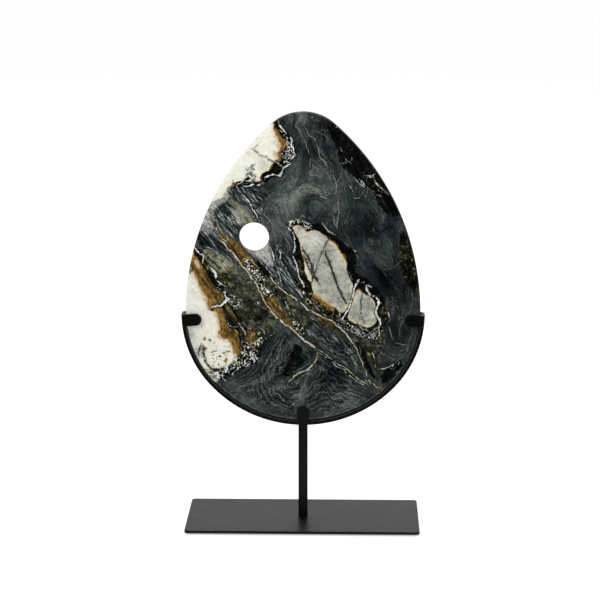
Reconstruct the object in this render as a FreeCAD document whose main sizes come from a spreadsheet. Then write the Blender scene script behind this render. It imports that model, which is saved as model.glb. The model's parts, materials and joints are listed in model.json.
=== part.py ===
import FreeCAD, Part
import math
import os
from enum import IntEnum
import Sketcher

# Decorative egg on stand: a polished stone slab with an egg outline, held in a black steel
# cradle on a square post and a flat base plate.
# Millimetres, +Z up. The origin is on the floor, under the middle of the base plate.
# The front faces -Y, and what the viewer calls left is at -X.

document = FreeCAD.newDocument("egg_on_stand")

# Driving sizes, one row each in the sheet
SIZES = (
    # The stone slab
    ("egg_width", 241.0),
    ("egg_height", 320.0),
    ("egg_thickness", 12.7),
    ("egg_edge_radius", 2.4),
    ("wide_level_share", 0.353),
    ("bottom_flatness_share", 0.64),
    ("top_radius_share", 0.40),
    ("hole_diameter", 30.5),
    ("hole_offset", 50.0),
    ("hole_level", 192.0),
    ("hole_edge_radius", 1.0),
    # The cradle
    ("egg_gap", 1.5),
    ("rest_clearance", 0.3),
    ("band_thickness", 3.0),
    ("band_width", 16.0),
    ("band_end_drop", 1.0),
    ("band_edge_radius", 0.5),
    ("prong_width", 12.4),
    ("prong_reach", 20.6),
    ("prong_inset", 1.0),
    ("prong_thickness", 3.0),
    ("prong_corner_radius", 2.0),
    ("prong_edge_radius", 0.6),
    ("pad_diameter", 9.0),
    ("liner_width", 14.0),
    ("liner_end_drop", 1.6),
    # The post and the base
    ("post_width", 9.5),
    ("post_height", 99.0),
    ("post_edge_radius", 0.6),
    ("base_length", 241.0),
    ("base_depth", 118.0),
    ("base_thickness", 3.0),
    ("base_corner_radius", 4.0),
    ("base_edge_radius", 0.8),
    ("foot_diameter", 12.0),
    ("foot_thickness", 1.5),
    ("foot_edge_radius", 0.5),
    ("foot_inset", 14.0),
    # The two countersunk screws that hold the post
    ("screw_diameter", 4.0),
    ("screw_length", 16.0),
    ("screw_head_diameter", 7.6),
    ("screw_head_height", 2.2),
    ("screw_tip_chamfer", 0.5),
    ("screw_sink", 0.15),
    ("screw_clearance", 0.25),
    ("thread_clearance", 0.1),
    ("screw_hole_spare", 2.0),
    ("socket_width", 2.5),
    ("socket_depth", 1.3),
    # How far every cut runs past the face it starts from
    ("overrun", 1.0),
)

# Sizes worked out from the driving ones: the arcs of the outline and the levels of the stack.
# The lower half of the outline is a bottom arc and a corner arc that end at the widest level;
# the upper half is a side arc and a top arc. All are tangent where they meet.
DERIVED = (
    ("half_width", "Sizes.egg_width / 2"),
    ("wide_level", "Sizes.egg_height * Sizes.wide_level_share"),
    ("bottom_radius", "half_width + Sizes.bottom_flatness_share * (half_width - wide_level)"),
    (
        "corner_radius",
        "(bottom_radius ^ 2 - half_width ^ 2 - (wide_level - bottom_radius) ^ 2)"
        " / (2 * (bottom_radius - half_width))",
    ),
    ("top_radius", "half_width * Sizes.top_radius_share"),
    (
        "side_radius",
        "(half_width ^ 2 - top_radius ^ 2 + (Sizes.egg_height - wide_level - top_radius) ^ 2)"
        " / (2 * (half_width - top_radius))",
    ),
    ("band_outset", "Sizes.egg_gap + Sizes.band_thickness"),
    ("base_top", "Sizes.foot_thickness + Sizes.base_thickness"),
    ("egg_bottom", "base_top + Sizes.post_height + band_outset"),
    ("pad_thickness", "(Sizes.band_width - Sizes.egg_thickness) / 2 - Sizes.rest_clearance"),
    (
        "prong_turn",
        "asin((Sizes.band_end_drop + Sizes.prong_width / 2) / (corner_radius + band_outset))",
    ),
)


def make_sheet(name, rows):
    """A sheet with a name, a value and an alias on each row."""
    sheet = document.addObject("Spreadsheet::Sheet", name)
    for row, (alias, content) in enumerate(rows, start=1):
        sheet.set("A%d" % row, alias)
        sheet.set("B%d" % row, str(content))
        sheet.setAlias("B%d" % row, alias)
    document.recompute()
    return sheet


make_sheet("Sizes", SIZES)
derived = make_sheet("Derived", [(alias, "=" + formula) for alias, formula in DERIVED])


def number(expression):
    """What an expression on the two sheets comes to, in millimetres or degrees."""
    result = derived.evalExpression(expression)
    return float(getattr(result, "Value", result))


# Helpers for bodies and sketches

def make_body(label):
    body = document.addObject("PartDesign::Body", label)
    body.Label = label
    return body


def place(body, east="0", north="0", up="0", turn_about=(0, 1, 0), turn="0"):
    """Put a body at a point, turned about an axis, with every value tied to the sheets."""
    axis = ", ".join(str(part) for part in turn_about)
    body.setExpression(
        "Placement",
        "placement(vector(%s, %s, %s), rotation(vector(%s), %s))" % (east, north, up, axis, turn),
    )


def origin_feature(body, role):
    return next(feature for feature in body.Origin.OriginFeatures if feature.Role == role)


def make_sketch(body, name, role, offset=None):
    """A sketch on one of the body's own origin planes, moved along its normal by an offset."""
    sketch = body.newObject("Sketcher::SketchObject", name)
    sketch.AttachmentSupport = [(origin_feature(body, role), "")]
    sketch.MapMode = "FlatFace"
    if offset:
        sketch.setExpression("AttachmentOffset.Base.z", offset)
    document.recompute()
    return sketch


# How a sketch numbers the points of a line or an arc, and its own two axes
Point = IntEnum("Point", "START END CENTRE")
Axis = IntEnum("Axis", "UPRIGHT LEVEL", start=-2)
START, END, CENTRE = Point.START, Point.END, Point.CENTRE
LEVEL_AXIS, UPRIGHT_AXIS = Axis.LEVEL, Axis.UPRIGHT
ORIGIN = (LEVEL_AXIS, START)
ZERO = "0"


def tie(sketch, kind, *parts):
    """Add a constraint whose last part is an expression on the sheets."""
    *where, expression = parts
    index = sketch.addConstraint(Sketcher.Constraint(kind, *where, number(expression)))
    sketch.setExpression("Constraints[%d]" % index, expression)


def join(sketch, kind, *parts):
    sketch.addConstraint(Sketcher.Constraint(kind, *parts))


def locate(sketch, geometry, point, across, up):
    """Fix a point of the sketch at two expressions, measured from the origin."""
    if across == ZERO:
        join(sketch, "PointOnObject", geometry, point, UPRIGHT_AXIS)
    else:
        tie(sketch, "DistanceX", *ORIGIN, geometry, point, across)
    if up == ZERO:
        join(sketch, "PointOnObject", geometry, point, LEVEL_AXIS)
    else:
        tie(sketch, "DistanceY", *ORIGIN, geometry, point, up)


def draw_polygon(sketch, corners):
    """A closed outline of straight lines through corners given as pairs of expressions."""
    points = [FreeCAD.Vector(number(across), number(up), 0) for across, up in corners]
    count = len(points)
    lines = []
    for index in range(count):
        segment = Part.LineSegment(points[index], points[(index + 1) % count])
        lines.append(sketch.addGeometry(segment))
    for index in range(count):
        join(sketch, "Coincident", lines[index], END, lines[(index + 1) % count], START)
    for line, (across, up) in zip(lines, corners):
        locate(sketch, line, START, across, up)


def draw_circle(sketch, across, up, radius):
    centre = FreeCAD.Vector(number(across), number(up), 0)
    circle = sketch.addGeometry(Part.Circle(centre, FreeCAD.Vector(0, 0, 1), number(radius)))
    locate(sketch, circle, CENTRE, across, up)
    tie(sketch, "Radius", circle, radius)


def add_arc(sketch, centre_across, centre_up, radius, first_angle, last_angle):
    """An arc drawn from its numbers; the constraints that hold it come after."""
    centre = FreeCAD.Vector(centre_across, centre_up, 0)
    circle = Part.Circle(centre, FreeCAD.Vector(0, 0, 1), radius)
    return sketch.addGeometry(Part.ArcOfCircle(circle, first_angle, last_angle))


def add_line(sketch, start, end):
    return sketch.addGeometry(Part.LineSegment(FreeCAD.Vector(*start, 0), FreeCAD.Vector(*end, 0)))


def pad(body, sketch, length, midplane=False, reversed_side=False):
    """A sketch given a thickness: to both sides alike, or to the one that reversed_side picks."""
    feature = body.newObject("PartDesign::Pad", sketch.Name + "_pad")
    feature.Profile = sketch
    feature.setExpression("Length", length)
    if midplane:
        feature.SideType = "Symmetric"
    feature.Reversed = reversed_side
    document.recompute()
    return feature


def mirror_across_middle(body, feature):
    """The other half of a piece, mirrored across the body's own YZ plane."""
    mirror = body.newObject("PartDesign::Mirrored", feature.Name + "_mirror")
    mirror.Originals = [feature]
    mirror.MirrorPlane = (origin_feature(body, "YZ_Plane"), [""])
    body.Tip = mirror
    document.recompute()
    return mirror


def spin(body, kind, sketch):
    """A turned solid or a turned cut, all the way round the sketch's upright axis."""
    feature = body.newObject("PartDesign::" + kind, sketch.Name + "_" + kind.lower())
    feature.Profile = sketch
    feature.ReferenceAxis = (sketch, ["V_Axis"])
    feature.Angle = 360
    document.recompute()
    return feature


def cut_through(body, sketch):
    """A pocket through the whole piece, both ways from its sketch."""
    feature = body.newObject("PartDesign::Pocket", sketch.Name + "_pocket")
    feature.Profile = sketch
    feature.SideType = "Symmetric"
    feature.Type = "ThroughAll"
    document.recompute()
    return feature


def edge_names(feature, wanted):
    edges = feature.Shape.Edges
    return ["Edge%d" % index for index, edge in enumerate(edges, start=1) if wanted(edge)]


def round_edges(body, base, wanted, radius):
    fillet = body.newObject("PartDesign::Fillet", base.Name + "_rounded")
    fillet.Base = (base, edge_names(base, wanted))
    fillet.setExpression("Radius", radius)
    document.recompute()
    return fillet


def check_cut(before, after, name):
    """A cut that points away from the solid shows no error, so its volume is compared."""
    removed = before.Shape.Volume - after.Shape.Volume
    if removed <= 0:
        raise RuntimeError("%s removed nothing" % name)


NEAR = 1e-4


def lies_at_depth(edge, depth):
    """True for an edge that lies flat in one of the two planes at plus and minus a depth."""
    box = edge.BoundBox
    flat = box.YMax - box.YMin < NEAR
    return flat and abs(abs(box.YMax) - depth) < NEAR


def is_upright(edge):
    box = edge.BoundBox
    return box.XMax - box.XMin < NEAR and box.YMax - box.YMin < NEAR


def bottom_joint_angle():
    """The direction, from either centre, of the point where bottom and corner arcs meet."""
    across = number("half_width - corner_radius")
    up = number("wide_level - bottom_radius")
    facing = math.copysign(1, number("bottom_radius - corner_radius"))
    return math.atan2(facing * up, facing * across)


# The stone slab, drawn from the lowest point of its outline

def draw_half_egg(sketch):
    """The right half of the outline: four tangent arcs closed by a line on the axis."""
    bottom = number("bottom_radius")
    corner = number("corner_radius")
    side = number("side_radius")
    top = number("top_radius")
    half_width = number("half_width")
    wide_level = number("wide_level")
    height = number("Sizes.egg_height")
    low_joint = bottom_joint_angle()
    high_joint = math.atan2(height - top - wide_level, side - half_width)
    lowest = -math.pi / 2
    highest = math.pi / 2
    bottom_arc = add_arc(sketch, 0, bottom, bottom, lowest, low_joint)
    corner_arc = add_arc(sketch, half_width - corner, wide_level, corner, low_joint, 0)
    side_arc = add_arc(sketch, half_width - side, wide_level, side, 0, high_joint)
    top_arc = add_arc(sketch, 0, height - top, top, high_joint, highest)
    axis_line = add_line(sketch, (0, height), (0, 0))
    join(sketch, "Coincident", bottom_arc, START, *ORIGIN)
    join(sketch, "PointOnObject", bottom_arc, CENTRE, UPRIGHT_AXIS)
    join(sketch, "Tangent", bottom_arc, END, corner_arc, START)
    join(sketch, "Tangent", corner_arc, END, side_arc, START)
    join(sketch, "Tangent", side_arc, END, top_arc, START)
    join(sketch, "PointOnObject", top_arc, CENTRE, UPRIGHT_AXIS)
    join(sketch, "Coincident", top_arc, END, axis_line, START)
    join(sketch, "Coincident", axis_line, END, *ORIGIN)
    join(sketch, "Horizontal", corner_arc, CENTRE, corner_arc, END)
    locate(sketch, axis_line, START, ZERO, "Sizes.egg_height")
    locate(sketch, corner_arc, END, "Derived.half_width", "Derived.wide_level")
    tie(sketch, "Radius", bottom_arc, "Derived.bottom_radius")
    tie(sketch, "Radius", top_arc, "Derived.top_radius")


def make_egg_slab():
    body = make_body("egg_slab")
    outline = make_sketch(body, "egg_outline", "XZ_Plane")
    draw_half_egg(outline)
    half = pad(body, outline, "Sizes.egg_thickness", midplane=True)
    whole = mirror_across_middle(body, half)
    hole = make_sketch(body, "egg_hole", "XZ_Plane")
    draw_circle(hole, "-Sizes.hole_offset", "Sizes.hole_level", "Sizes.hole_diameter / 2")
    pierced = cut_through(body, hole)
    check_cut(whole, pierced, "the hole in the slab")
    face_depth = number("Sizes.egg_thickness / 2")
    hole_radius = number("Sizes.hole_diameter / 2")

    def around_hole(edge):
        round_edge = isinstance(edge.Curve, Part.Circle)
        return round_edge and abs(edge.Curve.Radius - hole_radius) < NEAR

    def rim(edge):
        return lies_at_depth(edge, face_depth) and not around_hole(edge)

    def hole_rim(edge):
        return lies_at_depth(edge, face_depth) and around_hole(edge)

    rounded = round_edges(body, pierced, rim, "Sizes.egg_edge_radius")
    round_edges(body, rounded, hole_rim, "Sizes.hole_edge_radius")
    place(body, up="Derived.egg_bottom")
    return body


# The cradle band and its liner: two strips that follow the lower outline of the egg. The band
# is a flat bar one gap outside the outline, and the soft liner fills most of that gap.

def draw_half_strip(sketch, inner, outer, drop):
    """The right half of a strip's edge view, from the lowest point up to its end.

    Inner and outer are how far its two faces lie outside the outline of the egg, and drop is
    how far its end lies below the widest level, all as expressions."""
    bottom = number("bottom_radius")
    corner = number("corner_radius")
    corner_centre = number("half_width - corner_radius")
    wide_level = number("wide_level")
    near = number(inner)
    far = number(outer)
    below = number(drop)
    joint = bottom_joint_angle()
    lowest = -math.pi / 2
    inner_end = -math.asin(below / (corner + near))
    outer_end = -math.asin(below / (corner + far))
    inner_bottom = add_arc(sketch, 0, bottom, bottom + near, lowest, joint)
    inner_corner = add_arc(sketch, corner_centre, wide_level, corner + near, joint, inner_end)
    outer_bottom = add_arc(sketch, 0, bottom, bottom + far, lowest, joint)
    outer_corner = add_arc(sketch, corner_centre, wide_level, corner + far, joint, outer_end)
    end_level = wide_level - below
    inner_across = corner_centre + (corner + near) * math.cos(inner_end)
    outer_across = corner_centre + (corner + far) * math.cos(outer_end)
    end_line = add_line(sketch, (inner_across, end_level), (outer_across, end_level))
    axis_line = add_line(sketch, (0, -far), (0, -near))
    join(sketch, "Coincident", axis_line, START, outer_bottom, START)
    join(sketch, "Coincident", axis_line, END, inner_bottom, START)
    join(sketch, "PointOnObject", axis_line, START, UPRIGHT_AXIS)
    join(sketch, "PointOnObject", axis_line, END, UPRIGHT_AXIS)
    join(sketch, "Coincident", inner_bottom, CENTRE, outer_bottom, CENTRE)
    join(sketch, "Coincident", inner_corner, CENTRE, outer_corner, CENTRE)
    join(sketch, "Tangent", inner_bottom, END, inner_corner, START)
    join(sketch, "Tangent", outer_bottom, END, outer_corner, START)
    join(sketch, "Coincident", inner_corner, END, end_line, START)
    join(sketch, "Coincident", outer_corner, END, end_line, END)
    join(sketch, "Horizontal", end_line)
    locate(sketch, inner_bottom, CENTRE, ZERO, "Derived.bottom_radius")
    tie(sketch, "DistanceY", *ORIGIN, inner_corner, CENTRE, "Derived.wide_level")
    tie(sketch, "DistanceY", *ORIGIN, end_line, START, "Derived.wide_level - " + drop)
    tie(sketch, "Radius", inner_bottom, "Derived.bottom_radius + " + inner)
    tie(sketch, "Radius", outer_bottom, "Derived.bottom_radius + " + outer)
    tie(sketch, "Radius", inner_corner, "Derived.corner_radius + " + inner)


def countersink_corners(head_face, way, far_face):
    """The edge view of a countersunk hole: its head opens at one face, towards a way of + or -."""
    head_radius = "Sizes.screw_head_diameter / 2 + Sizes.screw_clearance"
    shank_radius = "Sizes.screw_diameter / 2 + Sizes.screw_clearance"
    flare = "(Sizes.screw_head_diameter - Sizes.screw_diameter) / 2 / Sizes.screw_head_height"
    inward = "-" if way == "+" else "+"
    before = "%s %s Sizes.overrun" % (head_face, way)
    neck = "%s %s Sizes.screw_head_height" % (head_face, inward)
    beyond = "%s %s Sizes.overrun" % (far_face, inward)
    return (
        (ZERO, before),
        ("%s + Sizes.overrun * %s" % (head_radius, flare), before),
        (shank_radius, neck),
        (shank_radius, beyond),
        (ZERO, beyond),
    )


def make_cradle_band():
    body = make_body("cradle_band")
    profile = make_sketch(body, "band_profile", "XZ_Plane")
    draw_half_strip(profile, "Sizes.egg_gap", "Derived.band_outset", "Sizes.band_end_drop")
    half = pad(body, profile, "Sizes.band_width", midplane=True)
    whole = mirror_across_middle(body, half)
    face_depth = number("Sizes.band_width / 2")

    def long_edge(edge):
        return lies_at_depth(edge, face_depth) and isinstance(edge.Curve, Part.Circle)

    rounded = round_edges(body, whole, long_edge, "Sizes.band_edge_radius")
    screw_hole = make_sketch(body, "band_screw_hole", "XZ_Plane")
    draw_polygon(
        screw_hole, countersink_corners("-Sizes.egg_gap", "+", "-Derived.band_outset")
    )
    drilled = spin(body, "Groove", screw_hole)
    check_cut(rounded, drilled, "the screw hole in the band")
    place(body, up="Derived.egg_bottom")
    return body


# The six prongs, lapped on the front and rear edges of the band, and their pads.
# Each is drawn with +X pointing from the outer face of the band towards the stone.

def draw_prong(sketch):
    """A flat tab with a full round at its inner end and small rounds at its outer end."""
    half_width = number("Sizes.prong_width / 2")
    corner = number("Sizes.prong_corner_radius")
    inset = number("Sizes.prong_inset")
    round_centre = number("Sizes.prong_reach - Sizes.prong_width / 2")
    quarter = math.pi / 2
    tip = add_arc(sketch, round_centre, 0, half_width, -quarter, quarter)
    upper_edge = add_line(sketch, (round_centre, half_width), (inset + corner, half_width))
    upper_round = add_arc(
        sketch, inset + corner, half_width - corner, corner, quarter, 2 * quarter
    )
    outer_edge = add_line(sketch, (inset, half_width - corner), (inset, corner - half_width))
    lower_round = add_arc(
        sketch, inset + corner, corner - half_width, corner, 2 * quarter, 3 * quarter
    )
    lower_edge = add_line(sketch, (inset + corner, -half_width), (round_centre, -half_width))
    join(sketch, "Tangent", tip, END, upper_edge, START)
    join(sketch, "Tangent", upper_edge, END, upper_round, START)
    join(sketch, "Tangent", upper_round, END, outer_edge, START)
    join(sketch, "Tangent", outer_edge, END, lower_round, START)
    join(sketch, "Tangent", lower_round, END, lower_edge, START)
    join(sketch, "Tangent", lower_edge, END, tip, START)
    join(sketch, "Vertical", outer_edge)
    join(sketch, "Horizontal", upper_edge)
    join(sketch, "Horizontal", lower_edge)
    join(sketch, "Equal", upper_round, lower_round)
    locate(sketch, tip, CENTRE, "Sizes.prong_reach - Sizes.prong_width / 2", ZERO)
    tie(sketch, "Radius", tip, "Sizes.prong_width / 2")
    tie(sketch, "Radius", upper_round, "Sizes.prong_corner_radius")
    tie(sketch, "DistanceX", *ORIGIN, outer_edge, START, "Sizes.prong_inset")


# Where each pair of prongs starts on the outer face of the band, and how it is turned there
CORNER_CENTRE = "(Derived.half_width - Derived.corner_radius)"
SIDE_REACH = "(Derived.corner_radius + Derived.band_outset)"
SIDE_ACROSS = "(%s + %s * cos(Derived.prong_turn))" % (CORNER_CENTRE, SIDE_REACH)
SIDE_UP = "Derived.egg_bottom + Derived.wide_level - %s * sin(Derived.prong_turn)" % SIDE_REACH
PRONG_PLACES = (
    ("left", "-" + SIDE_ACROSS, SIDE_UP, "-Derived.prong_turn"),
    ("right", SIDE_ACROSS, SIDE_UP, "180 deg + Derived.prong_turn"),
    ("bottom", ZERO, "Derived.egg_bottom - Derived.band_outset", "-90 deg"),
)
# A sketch plane's normal points to the front, so a distance is positive there
FACES = (("front", "", False), ("rear", "-", True))


def make_prong(label, side, behind, across, up, turn):
    body = make_body(label)
    outline = make_sketch(body, label + "_outline", "XZ_Plane", side + "Sizes.band_width / 2")
    draw_prong(outline)
    tab = pad(body, outline, "Sizes.prong_thickness", reversed_side=behind)
    outer_face = number("Sizes.band_width / 2 + Sizes.prong_thickness")
    round_edges(
        body, tab, lambda edge: lies_at_depth(edge, outer_face), "Sizes.prong_edge_radius"
    )
    place(body, east=across, up=up, turn=turn)
    return body


def make_prong_pad(label, side, behind, across, up, turn):
    """A thin soft disc on the inner face of a prong, under its rounded end."""
    body = make_body(label)
    outline = make_sketch(body, label + "_outline", "XZ_Plane", side + "Sizes.band_width / 2")
    draw_circle(
        outline, "Sizes.prong_reach - Sizes.prong_width / 2", ZERO, "Sizes.pad_diameter / 2"
    )
    pad(body, outline, "Derived.pad_thickness", reversed_side=not behind)
    place(body, east=across, up=up, turn=turn)
    return body


def make_cradle_liner():
    """The soft strip along the inside of the band, over the screw head, that the stone rests on."""
    body = make_body("cradle_liner")
    profile = make_sketch(body, "liner_profile", "XZ_Plane")
    draw_half_strip(profile, "Sizes.rest_clearance", "Sizes.egg_gap", "Sizes.liner_end_drop")
    half = pad(body, profile, "Sizes.liner_width", midplane=True)
    mirror_across_middle(body, half)
    place(body, up="Derived.egg_bottom")
    return body


# The post: a square bar, hollowed at its top to the curve of the band, with a blind screw
# hole in each end. Drawn from its foot on the base plate.

def make_post():
    body = make_body("post")
    profile = make_sketch(body, "post_profile", "XZ_Plane")
    half_width = number("Sizes.post_width / 2")
    seat_radius = number("bottom_radius + band_outset")
    seat_centre = number("Sizes.post_height") + seat_radius
    spread = math.asin(half_width / seat_radius)
    shoulder = seat_centre - seat_radius * math.cos(spread)
    lowest = -math.pi / 2
    foot = add_line(profile, (-half_width, 0), (half_width, 0))
    right = add_line(profile, (half_width, 0), (half_width, shoulder))
    left = add_line(profile, (-half_width, 0), (-half_width, shoulder))
    seat = add_arc(profile, 0, seat_centre, seat_radius, lowest - spread, lowest + spread)
    join(profile, "Coincident", foot, START, left, START)
    join(profile, "Coincident", foot, END, right, START)
    join(profile, "Coincident", left, END, seat, START)
    join(profile, "Coincident", right, END, seat, END)
    join(profile, "Vertical", left)
    join(profile, "Vertical", right)
    join(profile, "PointOnObject", foot, START, LEVEL_AXIS)
    join(profile, "PointOnObject", foot, END, LEVEL_AXIS)
    locate(
        profile, seat, CENTRE, ZERO,
        "Sizes.post_height + Derived.bottom_radius + Derived.band_outset",
    )
    tie(profile, "Radius", seat, "Derived.bottom_radius + Derived.band_outset")
    tie(profile, "DistanceX", *ORIGIN, foot, END, "Sizes.post_width / 2")
    tie(profile, "DistanceX", foot, START, foot, END, "Sizes.post_width")
    bar = pad(body, profile, "Sizes.post_width", midplane=True)
    rounded = round_edges(body, bar, is_upright, "Sizes.post_edge_radius")
    hole_radius = "Sizes.screw_diameter / 2 + Sizes.thread_clearance"
    foot_depth = "Sizes.screw_length - Sizes.base_thickness + Sizes.screw_hole_spare"
    top_depth = "Sizes.screw_length - Sizes.band_thickness + Sizes.screw_hole_spare"
    cuts = (
        ("post_foot_hole", "-Sizes.overrun", foot_depth),
        (
            "post_top_hole",
            "Sizes.post_height - (%s)" % top_depth,
            "Sizes.post_height + Sizes.overrun",
        ),
    )
    last = rounded
    for name, low, high in cuts:
        sketch = make_sketch(body, name, "XZ_Plane")
        draw_polygon(sketch, ((ZERO, low), (hole_radius, low), (hole_radius, high), (ZERO, high)))
        drilled = spin(body, "Groove", sketch)
        check_cut(last, drilled, name)
        last = drilled
    place(body, up="Derived.base_top")
    return body


# The base plate, drawn from its underside, with its screw hole countersunk from below

def make_base_plate():
    body = make_body("base_plate")
    outline = make_sketch(body, "base_outline", "XY_Plane")
    half_length = "Sizes.base_length / 2"
    half_depth = "Sizes.base_depth / 2"
    draw_polygon(
        outline,
        (
            ("-" + half_length, "-" + half_depth),
            (half_length, "-" + half_depth),
            (half_length, half_depth),
            ("-" + half_length, half_depth),
        ),
    )
    plate = pad(body, outline, "Sizes.base_thickness")
    cornered = round_edges(body, plate, is_upright, "Sizes.base_corner_radius")

    def level(edge):
        return edge.BoundBox.ZMax - edge.BoundBox.ZMin < NEAR

    rounded = round_edges(body, cornered, level, "Sizes.base_edge_radius")
    screw_hole = make_sketch(body, "base_screw_hole", "XZ_Plane")
    draw_polygon(screw_hole, countersink_corners(ZERO, "-", "Sizes.base_thickness"))
    drilled = spin(body, "Groove", screw_hole)
    check_cut(rounded, drilled, "the screw hole in the base")
    place(body, up="Sizes.foot_thickness")
    return body


# The screws: countersunk, with a six-sided socket, drawn pointing down from the head's face

def make_screw(label, up, turn):
    body = make_body(label)
    profile = make_sketch(body, label + "_profile", "XZ_Plane")
    head_radius = "Sizes.screw_head_diameter / 2"
    shank_radius = "Sizes.screw_diameter / 2"
    draw_polygon(
        profile,
        (
            (ZERO, ZERO),
            (head_radius, ZERO),
            (shank_radius, "-Sizes.screw_head_height"),
            (shank_radius, "-Sizes.screw_length + Sizes.screw_tip_chamfer"),
            (shank_radius + " - Sizes.screw_tip_chamfer", "-Sizes.screw_length"),
            (ZERO, "-Sizes.screw_length"),
        ),
    )
    turned = spin(body, "Revolution", profile)
    socket = make_sketch(body, label + "_socket", "XY_Plane")
    half_flat = "Sizes.socket_width / 2"
    point_reach = "Sizes.socket_width / sqrt(3)"
    half_reach = "Sizes.socket_width / sqrt(12)"
    draw_polygon(
        socket,
        (
            (point_reach, ZERO),
            (half_reach, half_flat),
            ("-" + half_reach, half_flat),
            ("-" + point_reach, ZERO),
            ("-" + half_reach, "-" + half_flat),
            (half_reach, "-" + half_flat),
        ),
    )
    recess = body.newObject("PartDesign::Pocket", label + "_recess")
    recess.Profile = socket
    recess.setExpression("Length", "Sizes.socket_depth")
    document.recompute()
    check_cut(turned, recess, "the socket of " + label)
    place(body, up=up, turn_about=(1, 0, 0), turn=turn)
    return body


# The four feet under the base plate, drawn from the floor

def make_foot(label, east, north):
    body = make_body(label)
    profile = make_sketch(body, label + "_profile", "XZ_Plane")
    radius = "Sizes.foot_diameter / 2"
    draw_polygon(
        profile,
        (
            (ZERO, ZERO),
            (radius + " - Sizes.foot_edge_radius", ZERO),
            (radius, "Sizes.foot_edge_radius"),
            (radius, "Sizes.foot_thickness"),
            (ZERO, "Sizes.foot_thickness"),
        ),
    )
    spin(body, "Revolution", profile)
    place(body, east=east, north=north)
    return body


bodies = [make_egg_slab(), make_cradle_band()]
for face, side, behind in FACES:
    for where, across, up, turn in PRONG_PLACES:
        prong_name = "%s_%s_prong" % (face, where)
        bodies.append(make_prong(prong_name, side, behind, across, up, turn))
        pad_name = "%s_%s_pad" % (face, where)
        bodies.append(make_prong_pad(pad_name, side, behind, across, up, turn))
bodies.append(make_cradle_liner())
bodies.append(make_post())
bodies.append(make_base_plate())
bodies.append(
    make_screw("cradle_screw", "Derived.egg_bottom - Sizes.egg_gap - Sizes.screw_sink", "0")
)
bodies.append(make_screw("base_screw", "Sizes.foot_thickness + Sizes.screw_sink", "180"))
foot_across = "(Sizes.base_length / 2 - Sizes.foot_inset)"
foot_along = "(Sizes.base_depth / 2 - Sizes.foot_inset)"
for end_name, end_sign in (("front", "-"), ("rear", "")):
    for side_name, side_sign in (("left", "-"), ("right", "")):
        foot_name = "%s_%s_foot" % (end_name, side_name)
        bodies.append(make_foot(foot_name, side_sign + foot_across, end_sign + foot_along))
document.recompute()

# Every object has to be sound before anything is written
for item in document.Objects:
    if "Invalid" in item.State or "Error" in item.State:
        raise RuntimeError("%s failed: %s" % (item.Label, item.State))
for body in bodies:
    if body.Shape.isNull() or not body.Shape.isValid():
        raise RuntimeError("%s has no sound shape" % body.Label)

os.makedirs("parts", exist_ok=True)
for body in bodies:
    body.Shape.exportStep(os.path.join("parts", body.Label + ".step"))
    print("%-20s %10.1f mm3" % (body.Label, body.Shape.Volume))
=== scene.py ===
# %% [markdown]
# # An egg-shaped slab of veined stone in a black steel cradle
#
# The object is a polished slab of natural stone, sawn 12.7 mm thick and ground to an egg outline, with
# a round hole through it. It stands in a cradle of flat black bar, on a square post and a thin plate.
# The steel, the pads, the screws and the feet come from the CAD model and only need a finish here.
# The stone is what everybody looks at, so most of this lesson is about its shape and its pattern.

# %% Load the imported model
import json
import math

import bpy
import numpy as np
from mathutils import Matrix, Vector


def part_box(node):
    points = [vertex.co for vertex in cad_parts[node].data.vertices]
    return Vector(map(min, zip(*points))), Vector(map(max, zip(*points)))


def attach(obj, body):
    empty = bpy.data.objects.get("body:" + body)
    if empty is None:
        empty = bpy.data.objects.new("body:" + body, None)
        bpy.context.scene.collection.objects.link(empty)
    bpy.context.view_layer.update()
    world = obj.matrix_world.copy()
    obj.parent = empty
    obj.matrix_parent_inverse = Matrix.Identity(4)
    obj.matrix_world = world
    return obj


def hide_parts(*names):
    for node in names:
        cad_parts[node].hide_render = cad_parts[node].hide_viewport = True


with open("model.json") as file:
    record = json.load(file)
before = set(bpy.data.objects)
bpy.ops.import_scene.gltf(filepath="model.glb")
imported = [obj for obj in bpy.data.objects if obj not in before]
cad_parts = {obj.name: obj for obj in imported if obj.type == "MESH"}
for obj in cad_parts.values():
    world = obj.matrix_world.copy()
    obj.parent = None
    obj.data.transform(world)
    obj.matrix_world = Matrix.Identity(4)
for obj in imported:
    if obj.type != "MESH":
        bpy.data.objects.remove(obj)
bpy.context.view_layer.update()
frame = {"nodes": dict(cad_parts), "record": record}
MILLIMETRE = 0.001


def put(name, data):
    """Make an object of a mesh, a camera or a lamp and put it into the scene."""
    thing = bpy.data.objects.new(name, data)
    bpy.context.scene.collection.objects.link(thing)
    return thing


def look(thing, place, direction):
    """Stand a camera or a lamp at a place and point it in a direction."""
    thing.location = place
    thing.rotation_mode = "QUATERNION"
    thing.rotation_quaternion = direction.to_track_quat("-Z", "Y")


print("nodes", len(frame["nodes"]))

# %% [markdown]
# ## The camera
#
# A product photographer steps back and uses a long lens, so that upright edges stay upright. The four
# corners of the base plate in the photograph give the height, the turn and the distance of the camera.
# Working in the photograph's own pixels keeps those numbers easy to check: the lens is 2200 pixels
# long where the picture is 600 wide, and Blender wants the same ratio on its 36 mm sensor.

# %% Camera at the photograph's angle
PICTURE_SIDE = 600
LENS_PIXELS = 2200.0
SENSOR_WIDTH = 36.0
CAMERA_HEIGHT_ANGLE = math.radians(11.167)
CAMERA_TURN = math.radians(1.4)
CAMERA_TARGET = Vector((-3.2, 0.0, 234.0)) * MILLIMETRE
CAMERA_DISTANCE = 2261 * MILLIMETRE
CLIP_RANGE = (0.05, 60.0)

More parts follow.
